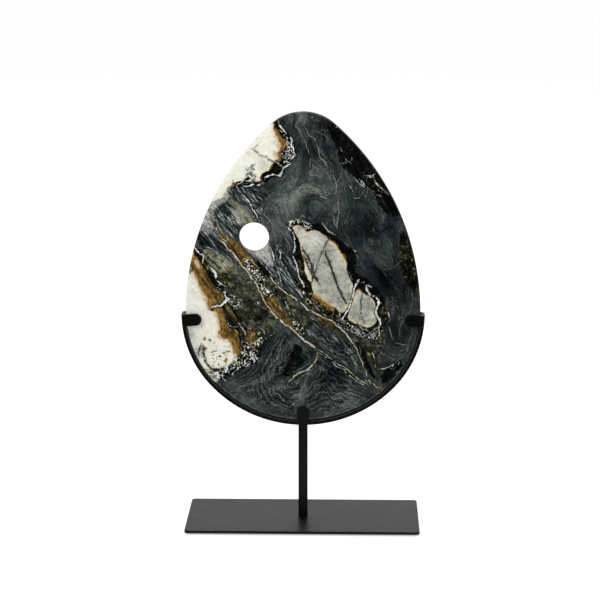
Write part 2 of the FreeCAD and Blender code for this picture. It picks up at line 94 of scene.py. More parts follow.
camera_back = Vector((
    math.sin(CAMERA_TURN) * math.cos(CAMERA_HEIGHT_ANGLE),
    -math.cos(CAMERA_TURN) * math.cos(CAMERA_HEIGHT_ANGLE),
    math.sin(CAMERA_HEIGHT_ANGLE),
))
camera_data = bpy.data.cameras.new("camera")
camera_data.sensor_width = SENSOR_WIDTH
camera_data.lens = SENSOR_WIDTH * LENS_PIXELS / PICTURE_SIDE
camera_data.clip_start, camera_data.clip_end = CLIP_RANGE
camera = put("camera", camera_data)
look(camera, CAMERA_TARGET + camera_back * CAMERA_DISTANCE, -camera_back)
bpy.context.scene.camera = camera
bpy.context.scene.view_settings.view_transform = "Standard"
print("lens", round(camera_data.lens, 1), "mm, camera at", tuple(round(v, 3) for v in camera.location))

# %% [markdown]
# ## Formulas that become nodes
#
# The egg outline and the stone pattern are both formulas. Wired by hand, each plus sign is a Math node
# and two links, which soon hides what is meant. The little class below stands for one number that
# flows through a node tree, and its plus, minus, times and divide each add the Math node for you.
# It works in Geometry Nodes and in shaders alike, because both share the same Math node.

# %% A number that flows through a node tree
def plug(tree, value, socket):
    """Put a number, a colour, a socket or a Flow into an input socket."""
    if isinstance(value, Flow):
        value = value.socket
    if isinstance(value, bpy.types.NodeSocket):
        tree.links.new(value, socket)
    elif value is not None:
        socket.default_value = value


def add_node(tree, kind, *values, **settings):
    """Add a node, set its properties, then fill its inputs in order. None leaves an input alone."""
    node = tree.nodes.new(kind)
    for name, value in settings.items():
        setattr(node, name, value)
    for socket, value in zip(node.inputs, values):
        plug(tree, value, socket)
    return node


class Flow:
    """One number in a node tree."""

    def __init__(self, tree, socket):
        self.tree = tree
        self.socket = socket

    def math(self, operation, *others, clamp=False):
        node = add_node(self.tree, "ShaderNodeMath", self, *others, operation=operation, use_clamp=clamp)
        return Flow(self.tree, node.outputs[0])

    def __add__(self, other):
        return self.math("ADD", other)

    def __radd__(self, other):
        return self.math("ADD", other)

    def __sub__(self, other):
        return self.math("SUBTRACT", other)

    def __rsub__(self, other):
        node = add_node(self.tree, "ShaderNodeMath", other, self, operation="SUBTRACT")
        return Flow(self.tree, node.outputs[0])

    def __mul__(self, other):
        return self.math("MULTIPLY", other)

    def __truediv__(self, other):
        return self.math("DIVIDE", other)


print("formula helper ready")

# %% [markdown]
# ## The stone slab
#
# On the real object this is one slab of stone. Its outline follows a rule: four arcs a side, a wide
# flat one below, a tighter one up to the widest place, a long one up the side and a small one at the
# top, each tangent to the next. So every point of the outline is an arc's centre plus its radius
# along the direction in which the outline faces there, and an outline ground back by a few tenths is
# the same arcs with smaller radii.
#
# The slab could be a filled curve that is extruded, but that gives long thin triangles that can't
# carry a pattern. A hole makes the slab a ring, and a ring is a rectangular grid bent round twice:
# one side of the grid runs round the outline, the other from the hole across the front, over the
# rounded rim, across the back and through the hole to where it began. Geometry Nodes bends the grid
# with the rule above, and the seams are then merged.

# %% Node tree that bends a grid into the slab
def group_input(tree, name, kind, value):
    """Add a named input to a node group and return its identifier."""
    item = tree.interface.new_socket(name, in_out="INPUT", socket_type=kind)
    item.default_value = value
    return item.identifier


SLAB_LENGTHS = (
    "Half Width", "Height", "Wide Level", "Bottom Radius", "Top Radius", "Thickness", "Edge Radius",
    "Hole East", "Hole Up", "Hole Radius", "Hole Edge Radius", "Base Level",
)
SLAB_COUNTS = (
    "Around", "Front Rings", "Rim Steps", "Wall Steps", "Back Rings", "Hole Rim Steps", "Hole Wall Steps",
)
# Grid points that meet at a seam are nearer to each other than this, in metres
SEAM_DISTANCE = 2e-6


def clamp_part(rows, start, count):
    """From 0 to 1 while the row goes from start to start + count."""
    return ((rows - start) / count).math("MULTIPLY", 1.0, clamp=True)


def build_slab_tree():
    tree = bpy.data.node_groups.new("egg slab", "GeometryNodeTree")
    tree.is_modifier = True
    tree.interface.new_socket("Geometry", in_out="OUTPUT", socket_type="NodeSocketGeometry")
    identifiers = {name: group_input(tree, name, "NodeSocketFloat", 0.1) for name in SLAB_LENGTHS}
    identifiers.update({name: group_input(tree, name, "NodeSocketInt", 4) for name in SLAB_COUNTS})
    identifiers["Material"] = group_input(tree, "Material", "NodeSocketMaterial", None)
    given = add_node(tree, "NodeGroupInput")
    value = {name: Flow(tree, given.outputs[name]) for name in SLAB_LENGTHS + SLAB_COUNTS}

    half_width = value["Half Width"]
    wide_level = value["Wide Level"]
    bottom_radius = value["Bottom Radius"]
    top_radius = value["Top Radius"]

    # The two arcs that the tangent rule settles
    below = wide_level - bottom_radius
    corner_radius = (bottom_radius * bottom_radius - half_width * half_width - below * below) / (
        (bottom_radius - half_width) * 2.0
    )
    above = value["Height"] - wide_level - top_radius
    side_radius = (half_width * half_width - top_radius * top_radius + above * above) / (
        (half_width - top_radius) * 2.0
    )
    corner_east = half_width - corner_radius
    side_east = half_width - side_radius
    corner_turn = below.math("ARCTAN2", corner_east)
    side_turn = above.math("ARCTAN2", side_east * -1.0)
    quarter = math.pi / 2

    # How long each arc is, and so which arc a share of the whole length falls on
    arc_radii = (bottom_radius, corner_radius, side_radius, top_radius)
    arc_turns = (corner_turn + quarter, corner_turn * -1.0, side_turn, quarter - side_turn)
    lengths = [radius * turn for radius, turn in zip(arc_radii, arc_turns)]
    half_length = lengths[0] + lengths[1] + lengths[2] + lengths[3]

    rows_in_all = (
        value["Front Rings"] + value["Rim Steps"] * 2.0 + value["Wall Steps"] + value["Back Rings"]
        + value["Hole Rim Steps"] * 2.0 + value["Hole Wall Steps"]
    )
    grid = add_node(tree, "GeometryNodeMeshGrid", 1.0, 1.0, value["Around"] + 1.0, rows_in_all + 1.0)
    place = add_node(tree, "ShaderNodeSeparateXYZ", add_node(tree, "GeometryNodeInputPosition").outputs[0])
    share = Flow(tree, place.outputs["X"]) + 0.5
    row = ((Flow(tree, place.outputs["Y"]) + 0.5) * rows_in_all).math("ROUND")

    run = (1.0 - (1.0 - share * 2.0).math("ABSOLUTE")) * half_length
    side = (0.5 - share).math("SIGN")
    facing = None
    reached = None
    for radius, turn, length in zip(arc_radii, arc_turns, lengths):
        before = 0.0 if reached is None else reached
        part = ((run - before) / length).math("MULTIPLY", 1.0, clamp=True) * turn
        facing = part - quarter if facing is None else facing + part
        reached = length if reached is None else reached + length

    on_corner = facing.math("GREATER_THAN", corner_turn)
    on_side = facing.math("GREATER_THAN", 0.0)
    on_top = facing.math("GREATER_THAN", side_turn)
    radius = (
        bottom_radius + on_corner * (corner_radius - bottom_radius) + on_side * (side_radius - corner_radius)
        + on_top * (top_radius - side_radius)
    )
    east = on_corner * corner_east + on_side * (side_east - corner_east) - on_top * side_east
    up = bottom_radius + on_corner * (wide_level - bottom_radius) + on_top * above

    # Where each row lies on the way across the front, round the rim, across the back, through the hole
    front = clamp_part(row, 0.0, value["Front Rings"])
    count = value["Front Rings"]
    rim_out = clamp_part(row, count, value["Rim Steps"])
    count = count + value["Rim Steps"]
    wall = clamp_part(row, count, value["Wall Steps"])
    count = count + value["Wall Steps"]
    rim_back = clamp_part(row, count, value["Rim Steps"])
    count = count + value["Rim Steps"]
    back = clamp_part(row, count, value["Back Rings"])
    count = count + value["Back Rings"]
    hole_in = clamp_part(row, count, value["Hole Rim Steps"])
    count = count + value["Hole Rim Steps"]
    hole_wall = clamp_part(row, count, value["Hole Wall Steps"])
    count = count + value["Hole Wall Steps"]
    hole_out = clamp_part(row, count, value["Hole Rim Steps"])

    def rise(part):
        return (part * quarter).math("SINE")

    def fall(part):
        return 1.0 - (part * quarter).math("COSINE")

    thickness = value["Thickness"]
    edge = value["Edge Radius"]
    hole_edge = value["Hole Edge Radius"]
    inset = edge * (1.0 - rise(rim_out)) + edge * fall(rim_back)
    widening = hole_edge * (1.0 - rise(hole_in)) + hole_edge * fall(hole_out)
    depth = (
        edge * fall(rim_out) + (thickness - edge * 2.0) * wall + edge * rise(rim_back)
        - hole_edge * fall(hole_in) - (thickness - hole_edge * 2.0) * hole_wall
        - hole_edge * rise(hole_out) - thickness / 2.0
    )

    outer_east = (east + (radius - inset) * facing.math("COSINE")) * side
    outer_up = up + (radius - inset) * facing.math("SINE")
    from_hole_east = outer_east - value["Hole East"]
    from_hole_up = outer_up - value["Hole Up"]
    reach = (from_hole_east * from_hole_east + from_hole_up * from_hole_up).math("SQRT")
    hole_radius = value["Hole Radius"] + widening
    across = front - back
    inner = hole_radius / reach
    along = inner + (1.0 - inner) * across
    point = add_node(
        tree, "ShaderNodeCombineXYZ",
        value["Hole East"] + from_hole_east * along,
        depth,
        value["Base Level"] + value["Hole Up"] + from_hole_up * along,
    )
    moved = add_node(tree, "GeometryNodeSetPosition", grid.outputs["Mesh"], None, point.outputs[0])
    merged = add_node(tree, "GeometryNodeMergeByDistance", moved.outputs[0])
    merged.inputs["Distance"].default_value = SEAM_DISTANCE
    flipped = add_node(tree, "GeometryNodeFlipFaces", merged.outputs[0])
    smooth = add_node(tree, "GeometryNodeSetShadeSmooth", flipped.outputs[0])
    real = add_node(tree, "GeometryNodeRealizeInstances", smooth.outputs[0])
    painted = add_node(tree, "GeometryNodeSetMaterial", real.outputs[0])
    tree.links.new(given.outputs["Material"], painted.inputs["Material"])
    result = add_node(tree, "NodeGroupOutput")
    tree.links.new(painted.outputs[0], result.inputs[0])
    return tree, identifiers


slab_tree, slab_inputs = build_slab_tree()
print("slab tree:", len(slab_tree.nodes), "nodes")

# %% [markdown]
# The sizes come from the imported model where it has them: the box of the CAD slab gives the width, the
# height and the thickness, and the mount on the hole gives its middle and its radius. Only the shares
# that shape the outline are written here again. The front has the finest rings, because its pattern
# is seen from nearest, and the whole stays under two hundred thousand triangles.

# %% The slab as a mesh
WIDE_LEVEL_SHARE = 0.353
BOTTOM_FLATNESS_SHARE = 0.64
TOP_RADIUS_SHARE = 0.40
EDGE_RADIUS = 2.4 * MILLIMETRE
HOLE_EDGE_RADIUS = 1.0 * MILLIMETRE

slab_low, slab_high = (Vector(corner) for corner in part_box("egg_slab"))
hole = next(mount for mount in frame["record"]["mounts"] if mount["name"] == "stone_hole")
half_width = (slab_high.x - slab_low.x) / 2
egg_height = slab_high.z - slab_low.z
wide_level = egg_height * WIDE_LEVEL_SHARE
slab_sizes = {
    "Half Width": half_width,
    "Height": egg_height,
    "Wide Level": wide_level,
    "Bottom Radius": half_width + BOTTOM_FLATNESS_SHARE * (half_width - wide_level),
    "Top Radius": half_width * TOP_RADIUS_SHARE,
    "Thickness": slab_high.y - slab_low.y,
    "Edge Radius": EDGE_RADIUS,
    "Hole East": hole["pos_m"][0],
    "Hole Up": hole["pos_m"][2] - slab_low.z,
    "Hole Radius": hole["dims"]["r_mm"] * MILLIMETRE,
    "Hole Edge Radius": HOLE_EDGE_RADIUS,
    "Base Level": slab_low.z,
    "Around": 500,
    "Front Rings": 104,
    "Rim Steps": 5,
    "Wall Steps": 4,
    "Back Rings": 54,
    "Hole Rim Steps": 3,
    "Hole Wall Steps": 4,
}

stone_paint = bpy.data.materials.new("polished veined stone")


def make_slab():
    carrier = put("slab carrier", bpy.data.meshes.new("slab carrier"))
    modifier = carrier.modifiers.new("slab", "NODES")
    modifier.node_group = slab_tree
    for name, size in slab_sizes.items():
        modifier[slab_inputs[name]] = size
    modifier[slab_inputs["Material"]] = stone_paint
    graph = bpy.context.evaluated_depsgraph_get()
    mesh = bpy.data.meshes.new_from_object(carrier.evaluated_get(graph))
    bpy.data.objects.remove(carrier)
    mesh.name = "stone_slab"
    return put("stone_slab", mesh)


stone = make_slab()
place_of = np.empty(len(stone.data.vertices) * 3)
stone.data.vertices.foreach_get("co", place_of)
place_of = place_of.reshape(-1, 3) / MILLIMETRE
print("slab:", len(stone.data.vertices), "points,", len(stone.data.polygons), "faces")
print("low", place_of.min(axis=0).round(2), "high", place_of.max(axis=0).round(2))

# %% [markdown]
# ## Where the pattern goes
#
# The stone is a dark slate that was broken and healed again: pale quartz in the gaps, rusty bands
# along some cracks, black margins, thin white and golden veins. Noise alone gives a stone of this
# kind, but never this stone. So each patch and each vein is a short line of points, given over the
# photograph in its pixels, and the function below carries a pixel back along the camera's ray onto
# the front of the slab. The stone leans a little in the photograph and stands upright here, so the
# points are first turned back by that lean.

# %% From a pixel of the photograph to a point on the front of the stone
STONE_LEAN = math.radians(0.95)
LEAN_CENTRE = (303.4, 300.0)
UPRIGHT_CENTRE = (302.96, 300.0)
PHOTO_APEX = (300.2, 111.8)


def on_stone(points):
    """East and up in millimetres, on the front face, for points in pixels of the photograph."""
    pixels = np.asarray(points, dtype=float) - LEAN_CENTRE
    east = pixels[:, 0] * math.cos(STONE_LEAN) - pixels[:, 1] * math.sin(STONE_LEAN) + UPRIGHT_CENTRE[0]
    down = pixels[:, 0] * math.sin(STONE_LEAN) + pixels[:, 1] * math.cos(STONE_LEAN) + UPRIGHT_CENTRE[1]
    back = np.array(camera_back)
    right = np.array((math.cos(CAMERA_TURN), math.sin(CAMERA_TURN), 0.0))
    above = np.cross(back, right)
    middle = PICTURE_SIDE / 2
    rays = -back * LENS_PIXELS + np.outer(east - middle, right) - np.outer(down - middle, above)
    start = np.array(camera.location) / MILLIMETRE
    front = slab_low.y / MILLIMETRE
    reach = (front - start[1]) / rays[:, 1]
    return (start + rays * reach[:, None])[:, (0, 2)]


print("the apex of the photographed stone lands at", on_stone([PHOTO_APEX])[0].round(1), "mm")

# %% [markdown]
# ## From lines to fields
#
# A shader doesn't know where a line of points runs, but it can read a number stored on the mesh. So
# each family of shapes becomes a field: for an area, the distance to its edge, negative inside; for
# veins, the step from each mesh point to the nearest vein. Between the mesh points these change
# evenly, so an edge or a vein stays sharp however coarse the mesh is, and noise added to the distance
# in the shader makes it ragged. The pattern leans a little through the thickness, so the rim and the
# back show the same stone, shifted.

# %% Fields on the mesh
PATTERN_LEAN = (0.55, -0.35)
FIELD_REACH = 16.0
FAR_REACH = 90.0
SMOOTH_STEP = 2.0
# A vein starts with this share of its width and gains this share with each step from its end
TIP_SHARE = 0.35
TIP_GAIN = 0.25
ALMOST_ZERO = 1e-12

depth_in = place_of[:, 1] - slab_low.y / MILLIMETRE
pattern_place = np.stack(
    (place_of[:, 0] + PATTERN_LEAN[0] * depth_in, place_of[:, 2] + PATTERN_LEAN[1] * depth_in), axis=1
)


def smooth_line(points, closed):
    """A Catmull-Rom curve through the points, as points about two millimetres apart."""
    points = on_stone(points)
    if closed:
        padded = np.vstack((points[-1], points, points[0], points[1]))
    else:
        padded = np.vstack((points[0], points, points[-1]))
    pieces = []
    for before, start, end, after in zip(padded, padded[1:], padded[2:], padded[3:]):
        steps = max(1, int(round(np.linalg.norm(end - start) / SMOOTH_STEP)))
        t = np.linspace(0.0, 1.0, steps, endpoint=False)[:, None]
        pieces.append(
            0.5 * (2 * start + (end - before) * t + (2 * before - 5 * start + 4 * end - after) * t ** 2
                   + (3 * start - before - 3 * end + after) * t ** 3)
        )
    pieces.append(padded[-2:-1] if closed else points[-1:])
    return np.vstack(pieces)


def nearest_step(line, widths, step, near, reach=FIELD_REACH):
    """Shorten step and near wherever this line is nearer than the lines before it."""
    low = line.min(axis=0) - reach
    high = line.max(axis=0) + reach
    inside = np.all((pattern_place > low) & (pattern_place < high), axis=1).nonzero()[0]
    here = pattern_place[inside]
    best = near[inside]
    found = step[inside]
    for a, b, width_a, width_b in zip(line, line[1:], widths, widths[1:]):
        span = b - a
        share = np.clip(((here - a) @ span) / max(span @ span, ALMOST_ZERO), 0.0, 1.0)
        offset = here - a - share[:, None] * span
        distance = np.hypot(offset[:, 0], offset[:, 1])
        closer = distance < best
        best[closer] = distance[closer]
        found[closer, :2] = offset[closer]
        found[closer, 2] = width_a + (width_b - width_a) * share[closer]
    near[inside] = best
    step[inside] = found


def empty_field(reach=FIELD_REACH):
    near = np.full(len(pattern_place), reach)
    step = np.full((len(pattern_place), 3), reach)
    step[:, 2] = 0.0
    return step, near


def store(name, values):
    kind = "FLOAT_VECTOR" if values.ndim == 2 else "FLOAT"
    attribute = stone.data.attributes.new(name, kind, "POINT")
    attribute.data.foreach_set("vector" if values.ndim == 2 else "value", values.astype(np.float32).ravel())


def is_inside(line):
    """Which mesh points lie inside a closed line."""
    odd = np.zeros(len(pattern_place), dtype=bool)
    east, up = pattern_place.T
    for a, b in zip(line, np.roll(line, -1, axis=0)):
        crosses = (a[1] > up) != (b[1] > up)
        odd ^= crosses & (east < (b[0] - a[0]) * (up - a[1]) / (b[1] - a[1] + ALMOST_ZERO) + a[0])
    return odd


def distance_outside(points, reach=FIELD_REACH):
    """How far each mesh point is outside a closed line; negative inside."""
    line = smooth_line(points, closed=True)
    step, near = empty_field(reach)
    nearest_step(line, np.zeros(len(line)), step, near, reach)
    return np.where(is_inside(line), -near, near)


def area_field(name, areas, reach=FIELD_REACH):
    """Store how far each mesh point is outside the nearest of these areas."""
    least = np.full(len(pattern_place), reach)
    for points in areas.values():
        least = np.minimum(least, distance_outside(points, reach))
    store(name, least)


def vein_field(name, veins):
    """Store the step to the nearest vein with half its width, and how near it is."""
    step, near = empty_field()
    for width, points in veins.values():
        line = smooth_line(points, closed=False)
        ends = np.minimum(np.arange(len(line)), np.arange(len(line))[::-1])
        widths = width / 2 * np.clip(TIP_SHARE + ends * TIP_GAIN, 0.0, 1.0)
        nearest_step(line, widths, step, near)
    store(name, step)
    store(name + " near", near)


print("pattern leans", PATTERN_LEAN, "mm for each mm of depth")

# %% [markdown]
# ## The pale patches
#
# Quartz: nearly white at the top left, creamy at the lower left, and grey and sugary in the big lens
# at the right, which a crack splits in two.

# %% Pale areas
PALE_AREAS = {
    "top left": [
        (264, 108), (271, 122), (271.6, 129), (273.7, 132.4), (276.2, 138), (279, 144), (278.5, 149.8),
        (275.4, 154.7), (277, 158.6), (272, 163), (269.2, 168), (266.5, 171), (261, 173.8), (258.8, 178),
        (258.8, 181), (253, 182.3), (249.5, 180), (246.3, 178), (242.5, 180.5), (236.4, 182.4),
        (231.4, 184.4), (226, 189), (224, 195), (219.5, 200), (213, 202), (203, 204), (200, 185),
        (220, 150), (245, 115),
    ],
    "lower left": [
        (180, 271), (190, 273.5), (194, 274.5), (196.6, 280.5), (199.9, 288), (204, 294.6), (207.4, 299),
        (208.2, 306), (210.7, 312), (217, 313.5), (219.5, 320), (221, 330), (220, 334.5), (223, 339.5),
        (229.5, 341), (233, 346.5), (236.4, 354), (239.5, 358), (238, 362), (233.5, 364), (230, 367),
        (224, 369), (218.5, 370), (213, 370), (208, 371), (200, 368), (185, 345), (174, 310),
    ],
    "lens": [
        (291.7, 227.9), (296, 225.3), (301.2, 226.4), (305.5, 231), (308.5, 231.5), (312.5, 229.5),
        (318.4, 231.4), (327, 237.4), (336.2, 244.5), (339.1, 249.4), (343.4, 255.5), (346.6, 264),
        (346.8, 270), (349.4, 277), (353, 283), (353.4, 289), (351.3, 297.7), (349, 305.4), (344.6, 312),
        (341, 311.8), (335.6, 308.9), (327.9, 303.7), (319.3, 297.7), (314.1, 294.2), (312.8, 288.2),
        (310.7, 283), (306.4, 275.3), (304.2, 266.7), (302.9, 259.8), (300.3, 249.4), (298.6, 240),
        (295.2, 234),
    ],
    "lens toe": [
        (358, 288.2), (363.2, 291.8), (369.2, 295), (374.2, 298.8), (376.1, 304.6), (375.2, 312.3),
        (377, 319.5), (375.2, 323.5), (370, 327), (364.9, 326), (358.9, 323.8), (352, 321), (348, 316.6),
        (349.8, 310.6), (352.4, 301), (355, 292.5),
    ],
    "strip core": [
        (194.8, 261.4), (196.4, 260.2), (198.6, 264), (200.2, 269), (198.6, 270.2), (196.4, 267),
        (194.6, 264),
    ],
    "edge fleck": [(189, 254), (192.4, 253.6), (194, 256.6), (193.2, 260), (191.4, 263.6), (187, 263)],
}
SMEAR_AREAS = {
    "left edge": [
        (222, 172), (232, 184), (228, 189), (227, 195), (226, 201), (219, 206), (213.5, 211), (212.5, 219),
        (213, 228), (208, 236), (203, 234), (195, 225), (205, 190),
    ],
    "left of the olive lens": [
        (229, 209), (233.5, 211), (238.5, 217.5), (240.5, 224.5), (237, 224.5), (232.5, 217),
    ],
    "under the hole": [
        (247, 250.5), (252.5, 251.5), (258, 250.5), (264.5, 246.5), (268, 243.5), (270, 250), (272.5, 259),
        (274, 266), (268, 265.5), (261, 261.5), (253, 256.5),
    ],
    "yellow edge": [(206.5, 369.5), (213.5, 371.5), (217.5, 376), (220.5, 380.5), (214, 384), (203, 374)],
}
area_field("pale", PALE_AREAS)
area_field("smear", SMEAR_AREAS)
print("pale areas", len(PALE_AREAS), "smears", len(SMEAR_AREAS))

# %% [markdown]
# ## The rust-brown, olive and black areas

# %% Brown, olive and black areas
BROWN_AREAS = {
    "top left tongue": [
        (272.5, 130), (276.5, 136), (281, 140.2), (285, 140.8), (284, 144.5), (281.5, 147.5), (278, 150.5),
        (277, 146), (275, 138.5),
    ],
    "top left knob": [(274.6, 153.6), (277.6, 155.2), (278.6, 159.6), (276.4, 160.4), (274.6, 157)],
    "lower left strip": [
        (191.5, 262), (194.5, 259), (198.2, 263.9), (204.9, 273), (210.7, 282.2), (216.5, 289.6),
        (222, 294), (225, 298.5), (222, 303), (217, 308), (210, 308), (206, 300), (200, 286), (195.8, 277),
        (192, 271),
    ],
    "lower left wedge": [
        (217.3, 309.5), (224.8, 311.2), (227, 320.8), (230.5, 329), (237.2, 330.7), (240, 337.4),
        (241.8, 346.5), (242.4, 353), (239.5, 356), (235.6, 350.6), (233.3, 344.8), (229.3, 340.2),
        (222.8, 338.8), (219.6, 334), (221.3, 330), (219.6, 322.4), (217.6, 315),
    ],
    "strand beside the wedge": [
        (225.5, 305), (230, 308), (234.5, 315), (238.5, 322), (240.5, 326.5), (237, 326), (232, 319.5),
        (227.5, 312.5),
    ],
    "blob": [
        (246.6, 334), (250.6, 331.8), (255.8, 332.6), (258.6, 337), (257.6, 343), (253, 346.6), (247, 342),
    ],
    "band by the hole": [
        (217.5, 229), (221.5, 233.5), (228.5, 238.5), (236.4, 243.2), (241.4, 248.2), (246.3, 254),
        (253, 261.4), (258, 268), (258, 272), (251, 273.5), (243.8, 268.5), (238.2, 262), (233.4, 256.4),
        (228.8, 250.6), (226, 246.5), (222.5, 242), (218.5, 236),
    ],
    "band below": [
        (263.8, 292), (268.7, 292.8), (276.2, 298), (282, 306.2), (287, 314.5), (291, 319.5), (294, 325),
        (299.5, 330), (297, 331.5), (290.5, 326.8), (284.5, 321.8), (277.8, 317), (272.9, 311),
        (267.9, 303), (265, 297),
    ],
    "lens foot": [
        (315, 295), (319.5, 297.9), (327.9, 303.9), (334.2, 308.6), (333.6, 310), (326.9, 305.4),
        (318.3, 299.4), (314.4, 296.2),
    ],
    "between the seams": [(317.5, 316), (324, 318.5), (331, 322), (335, 326), (329, 325), (321.5, 321)],
    "lower right end": [(376.5, 382), (380, 384.5), (384, 389), (386, 394), (381.5, 391), (377.5, 387)],
}
LIGHT_OLIVE_AREAS = {
    "lens by the hole": [
        (226.5, 201.5), (233.9, 202.6), (239.7, 206.6), (246.3, 213.4), (251.3, 219.2), (254.5, 225),
        (248, 230), (241, 227), (239.5, 218.5), (234, 210.5),
    ],
    "above the strip": [
        (203.5, 251.5), (212, 251), (222, 256), (230, 262.5), (235, 267.5), (229, 271.5), (222.5, 274.5),
        (214, 269), (208.5, 263.5), (205, 257.5),
    ],
}
DARK_OLIVE_AREAS = {
    "beside the wedge": [
        (212, 262), (222, 265), (232, 264), (242, 271), (251, 281), (258.5, 292), (266, 304), (272.5, 313),
        (279, 320), (270, 334), (258, 330), (250, 331), (243, 327), (236, 316), (229, 305), (228, 293),
        (220, 285),
    ],
    "above the lower band": [
        (258, 268), (266, 275), (274, 283), (283, 289), (293, 297), (303, 307), (312, 318), (306, 334),
        (296, 326), (290, 312), (280, 298), (268, 287), (260, 279),
    ],
    "below the lens": [
        (312, 316), (322, 318), (334, 325), (346, 335), (356, 336), (368, 338), (378, 344), (382, 358),
        (384, 372), (380, 378), (374, 366), (368, 352), (357, 346), (346, 340), (330, 330),
    ],
    "blob in the margin": [
        (380, 307.5), (384.5, 307), (387, 312), (386.5, 318), (382.5, 317.5), (379.8, 312.5),
    ],
}
BLACK_AREAS = {
    "top left margin": [
        (266, 112), (273, 118.5), (279.5, 126), (284, 130), (287.5, 136), (291.2, 141.5), (293.5, 149),
        (295, 156), (291, 162), (284.5, 167.5), (280.5, 174.5), (271, 179), (262.5, 184.5), (253, 187.3),
        (241.4, 188.5), (233, 187.8), (228.5, 189), (232, 178), (248, 168), (262, 155), (268, 135),
    ],
    "upper right": [
        (326.5, 122), (326.8, 133), (331, 141), (336.4, 148), (336.4, 157), (341.4, 166.4), (348, 172.5),
        (353, 178.5), (361.3, 184.4), (371.3, 191), (376.2, 202.4), (385.4, 211.6), (394, 215), (402, 205),
        (380, 165), (350, 128), (334, 112),
    ],
    "lens margin": [
        (309.8, 223.6), (319.3, 223.4), (324.4, 228.4), (330.5, 232), (341.7, 240.6), (350.3, 247.5),
        (354, 254), (356.5, 263), (357, 272), (363.2, 275.3), (371.8, 283.5), (381.3, 290.4), (384.7, 301),
        (387.5, 308), (388.2, 318.3), (382, 328), (380, 337), (368, 335.8), (355.4, 331), (345.1, 324),
        (334.8, 318.8), (324.4, 315.2), (315.8, 308.6), (307.2, 298.4), (302, 288.8), (298, 276),
        (295.4, 258.5), (294, 241.5), (290, 232.4), (287, 226.5), (291, 220.5), (299, 221), (305, 223.5),
    ],
    "left edge hook": [
        (193.5, 251), (198, 250), (203, 256), (208.5, 266), (213, 275), (217.5, 282.5), (225, 287.5),
        (229, 292), (226, 297.5), (219, 292), (210, 284), (203, 274), (197.5, 265), (194.8, 259.5),
    ],
    "crack of the lower left": [
        (210, 309), (217, 306.5), (223.5, 305.2), (226, 308), (219.5, 310.5), (212.5, 313.2),
    ],
    "speckled border": [
        (219, 371.5), (224, 368.5), (230, 366), (234.5, 361), (240, 356), (243, 350), (248, 347),
        (256, 344), (262, 340), (265, 345), (262, 355), (258, 364), (248, 368), (240, 373), (230, 376),
        (222, 375),
    ],
    "beside the wedge": [
        (221, 304), (228, 304), (236, 311), (244, 325), (248, 340), (245, 353), (241, 346), (236, 332),
        (228, 322), (221, 312),
    ],
    "under the hole": [
        (256, 262), (261, 263), (267, 270), (275, 278.5), (272, 281), (264, 276), (258, 269),
    ],
    "black bay": [
        (297, 345), (303, 348), (302, 355), (307, 360), (302, 365), (297, 370), (292, 375), (286.5, 378),
        (286, 372), (288, 364), (292, 353),
    ],
    "right edge": [
        (400.5, 230), (405, 230), (413, 246), (419, 264), (423, 288), (414, 287), (409, 283), (403.5, 276),
        (400.5, 264.5), (398.5, 251), (399, 241),
    ],
    "beside the second seam": [
        (356, 341), (361, 343), (366, 350), (370, 360), (373, 368), (377, 377), (372, 374), (366, 362),
        (362, 352),
    ],
    "lower right bay": [
        (383, 374), (388, 368), (395, 366), (400, 360), (404, 362), (398, 372), (390, 380), (384, 382),
    ],
}
area_field("brown", BROWN_AREAS)
area_field("light olive", LIGHT_OLIVE_AREAS)
area_field("dark olive", DARK_OLIVE_AREAS)
area_field("black", BLACK_AREAS)
print("brown", len(BROWN_AREAS), "black", len(BLACK_AREAS))
print("light olive", len(LIGHT_OLIVE_AREAS), "dark olive", len(DARK_OLIVE_AREAS))

# %% [markdown]
# ## Speckled, streaked and banded zones
#
# In some places the stone has a texture of its own rather than single shapes: a net of white specks
# on black, fine streaks that all run one way, and wavy bands like those of an agate. Here only the
# zones are drawn, and the shader fills them.

# %% Zones that noise fills
SPECKLED_ZONES = {
    "top left margin": [
        (276, 131), (283.5, 134), (288, 140.5), (292, 148), (293.8, 155.5), (289, 161.5), (282.5, 164),
        (278.5, 159.5), (279.5, 153.5), (284, 147.5), (283.5, 141),
    ],
    "top left foot": [(244, 170), (252, 167), (254, 173), (256, 180), (250, 183), (246, 179)],
    "top of the lens": [
        (287.5, 222.5), (292, 219.5), (299, 220.3), (306, 222), (311, 226), (309.5, 231), (304.5, 229.5),
        (300, 225.8), (294, 224.5), (289.5, 228),
    ],
    "band by the hole": [
        (243, 259.5), (248, 260.5), (254, 264.5), (258.5, 269.5), (257.5, 273), (251, 273.3), (246, 268.5),
    ],
    "band middle": [
        (250, 272.5), (257, 273), (262, 275), (265, 281), (264.5, 288), (270, 290), (274, 295.5),
        (268, 296.5), (262.5, 292), (258.5, 286), (254, 280),
    ],
    "band end": [
        (292, 319), (297, 322), (303, 328), (306.5, 336), (302, 334.5), (296.5, 329), (292.5, 324.5),
    ],
    "olive loops": [(228, 298), (236, 297), (242, 300), (240.5, 307), (234, 310), (228.5, 306)],
    "border of the lower left": [
        (231, 366.5), (236, 359), (241, 354), (244, 347.5), (250, 345.5), (257, 341.5), (262.5, 338),
        (264, 343), (258.5, 351), (260, 361), (252, 366), (244, 369), (236, 373.5), (227.5, 373.5),
        (226, 369.5),
    ],
    "foot of the lower left": [
        (209, 374), (218, 371.5), (228, 368), (237, 372), (232, 378.5), (222, 380.5), (213, 379),
    ],
    "below the lens toe": [
        (343, 318), (350, 323), (359, 327), (367, 330.5), (376, 329.5), (380, 334), (374, 337.5),
        (366, 337), (356, 333), (346, 328), (338, 322),
    ],
}
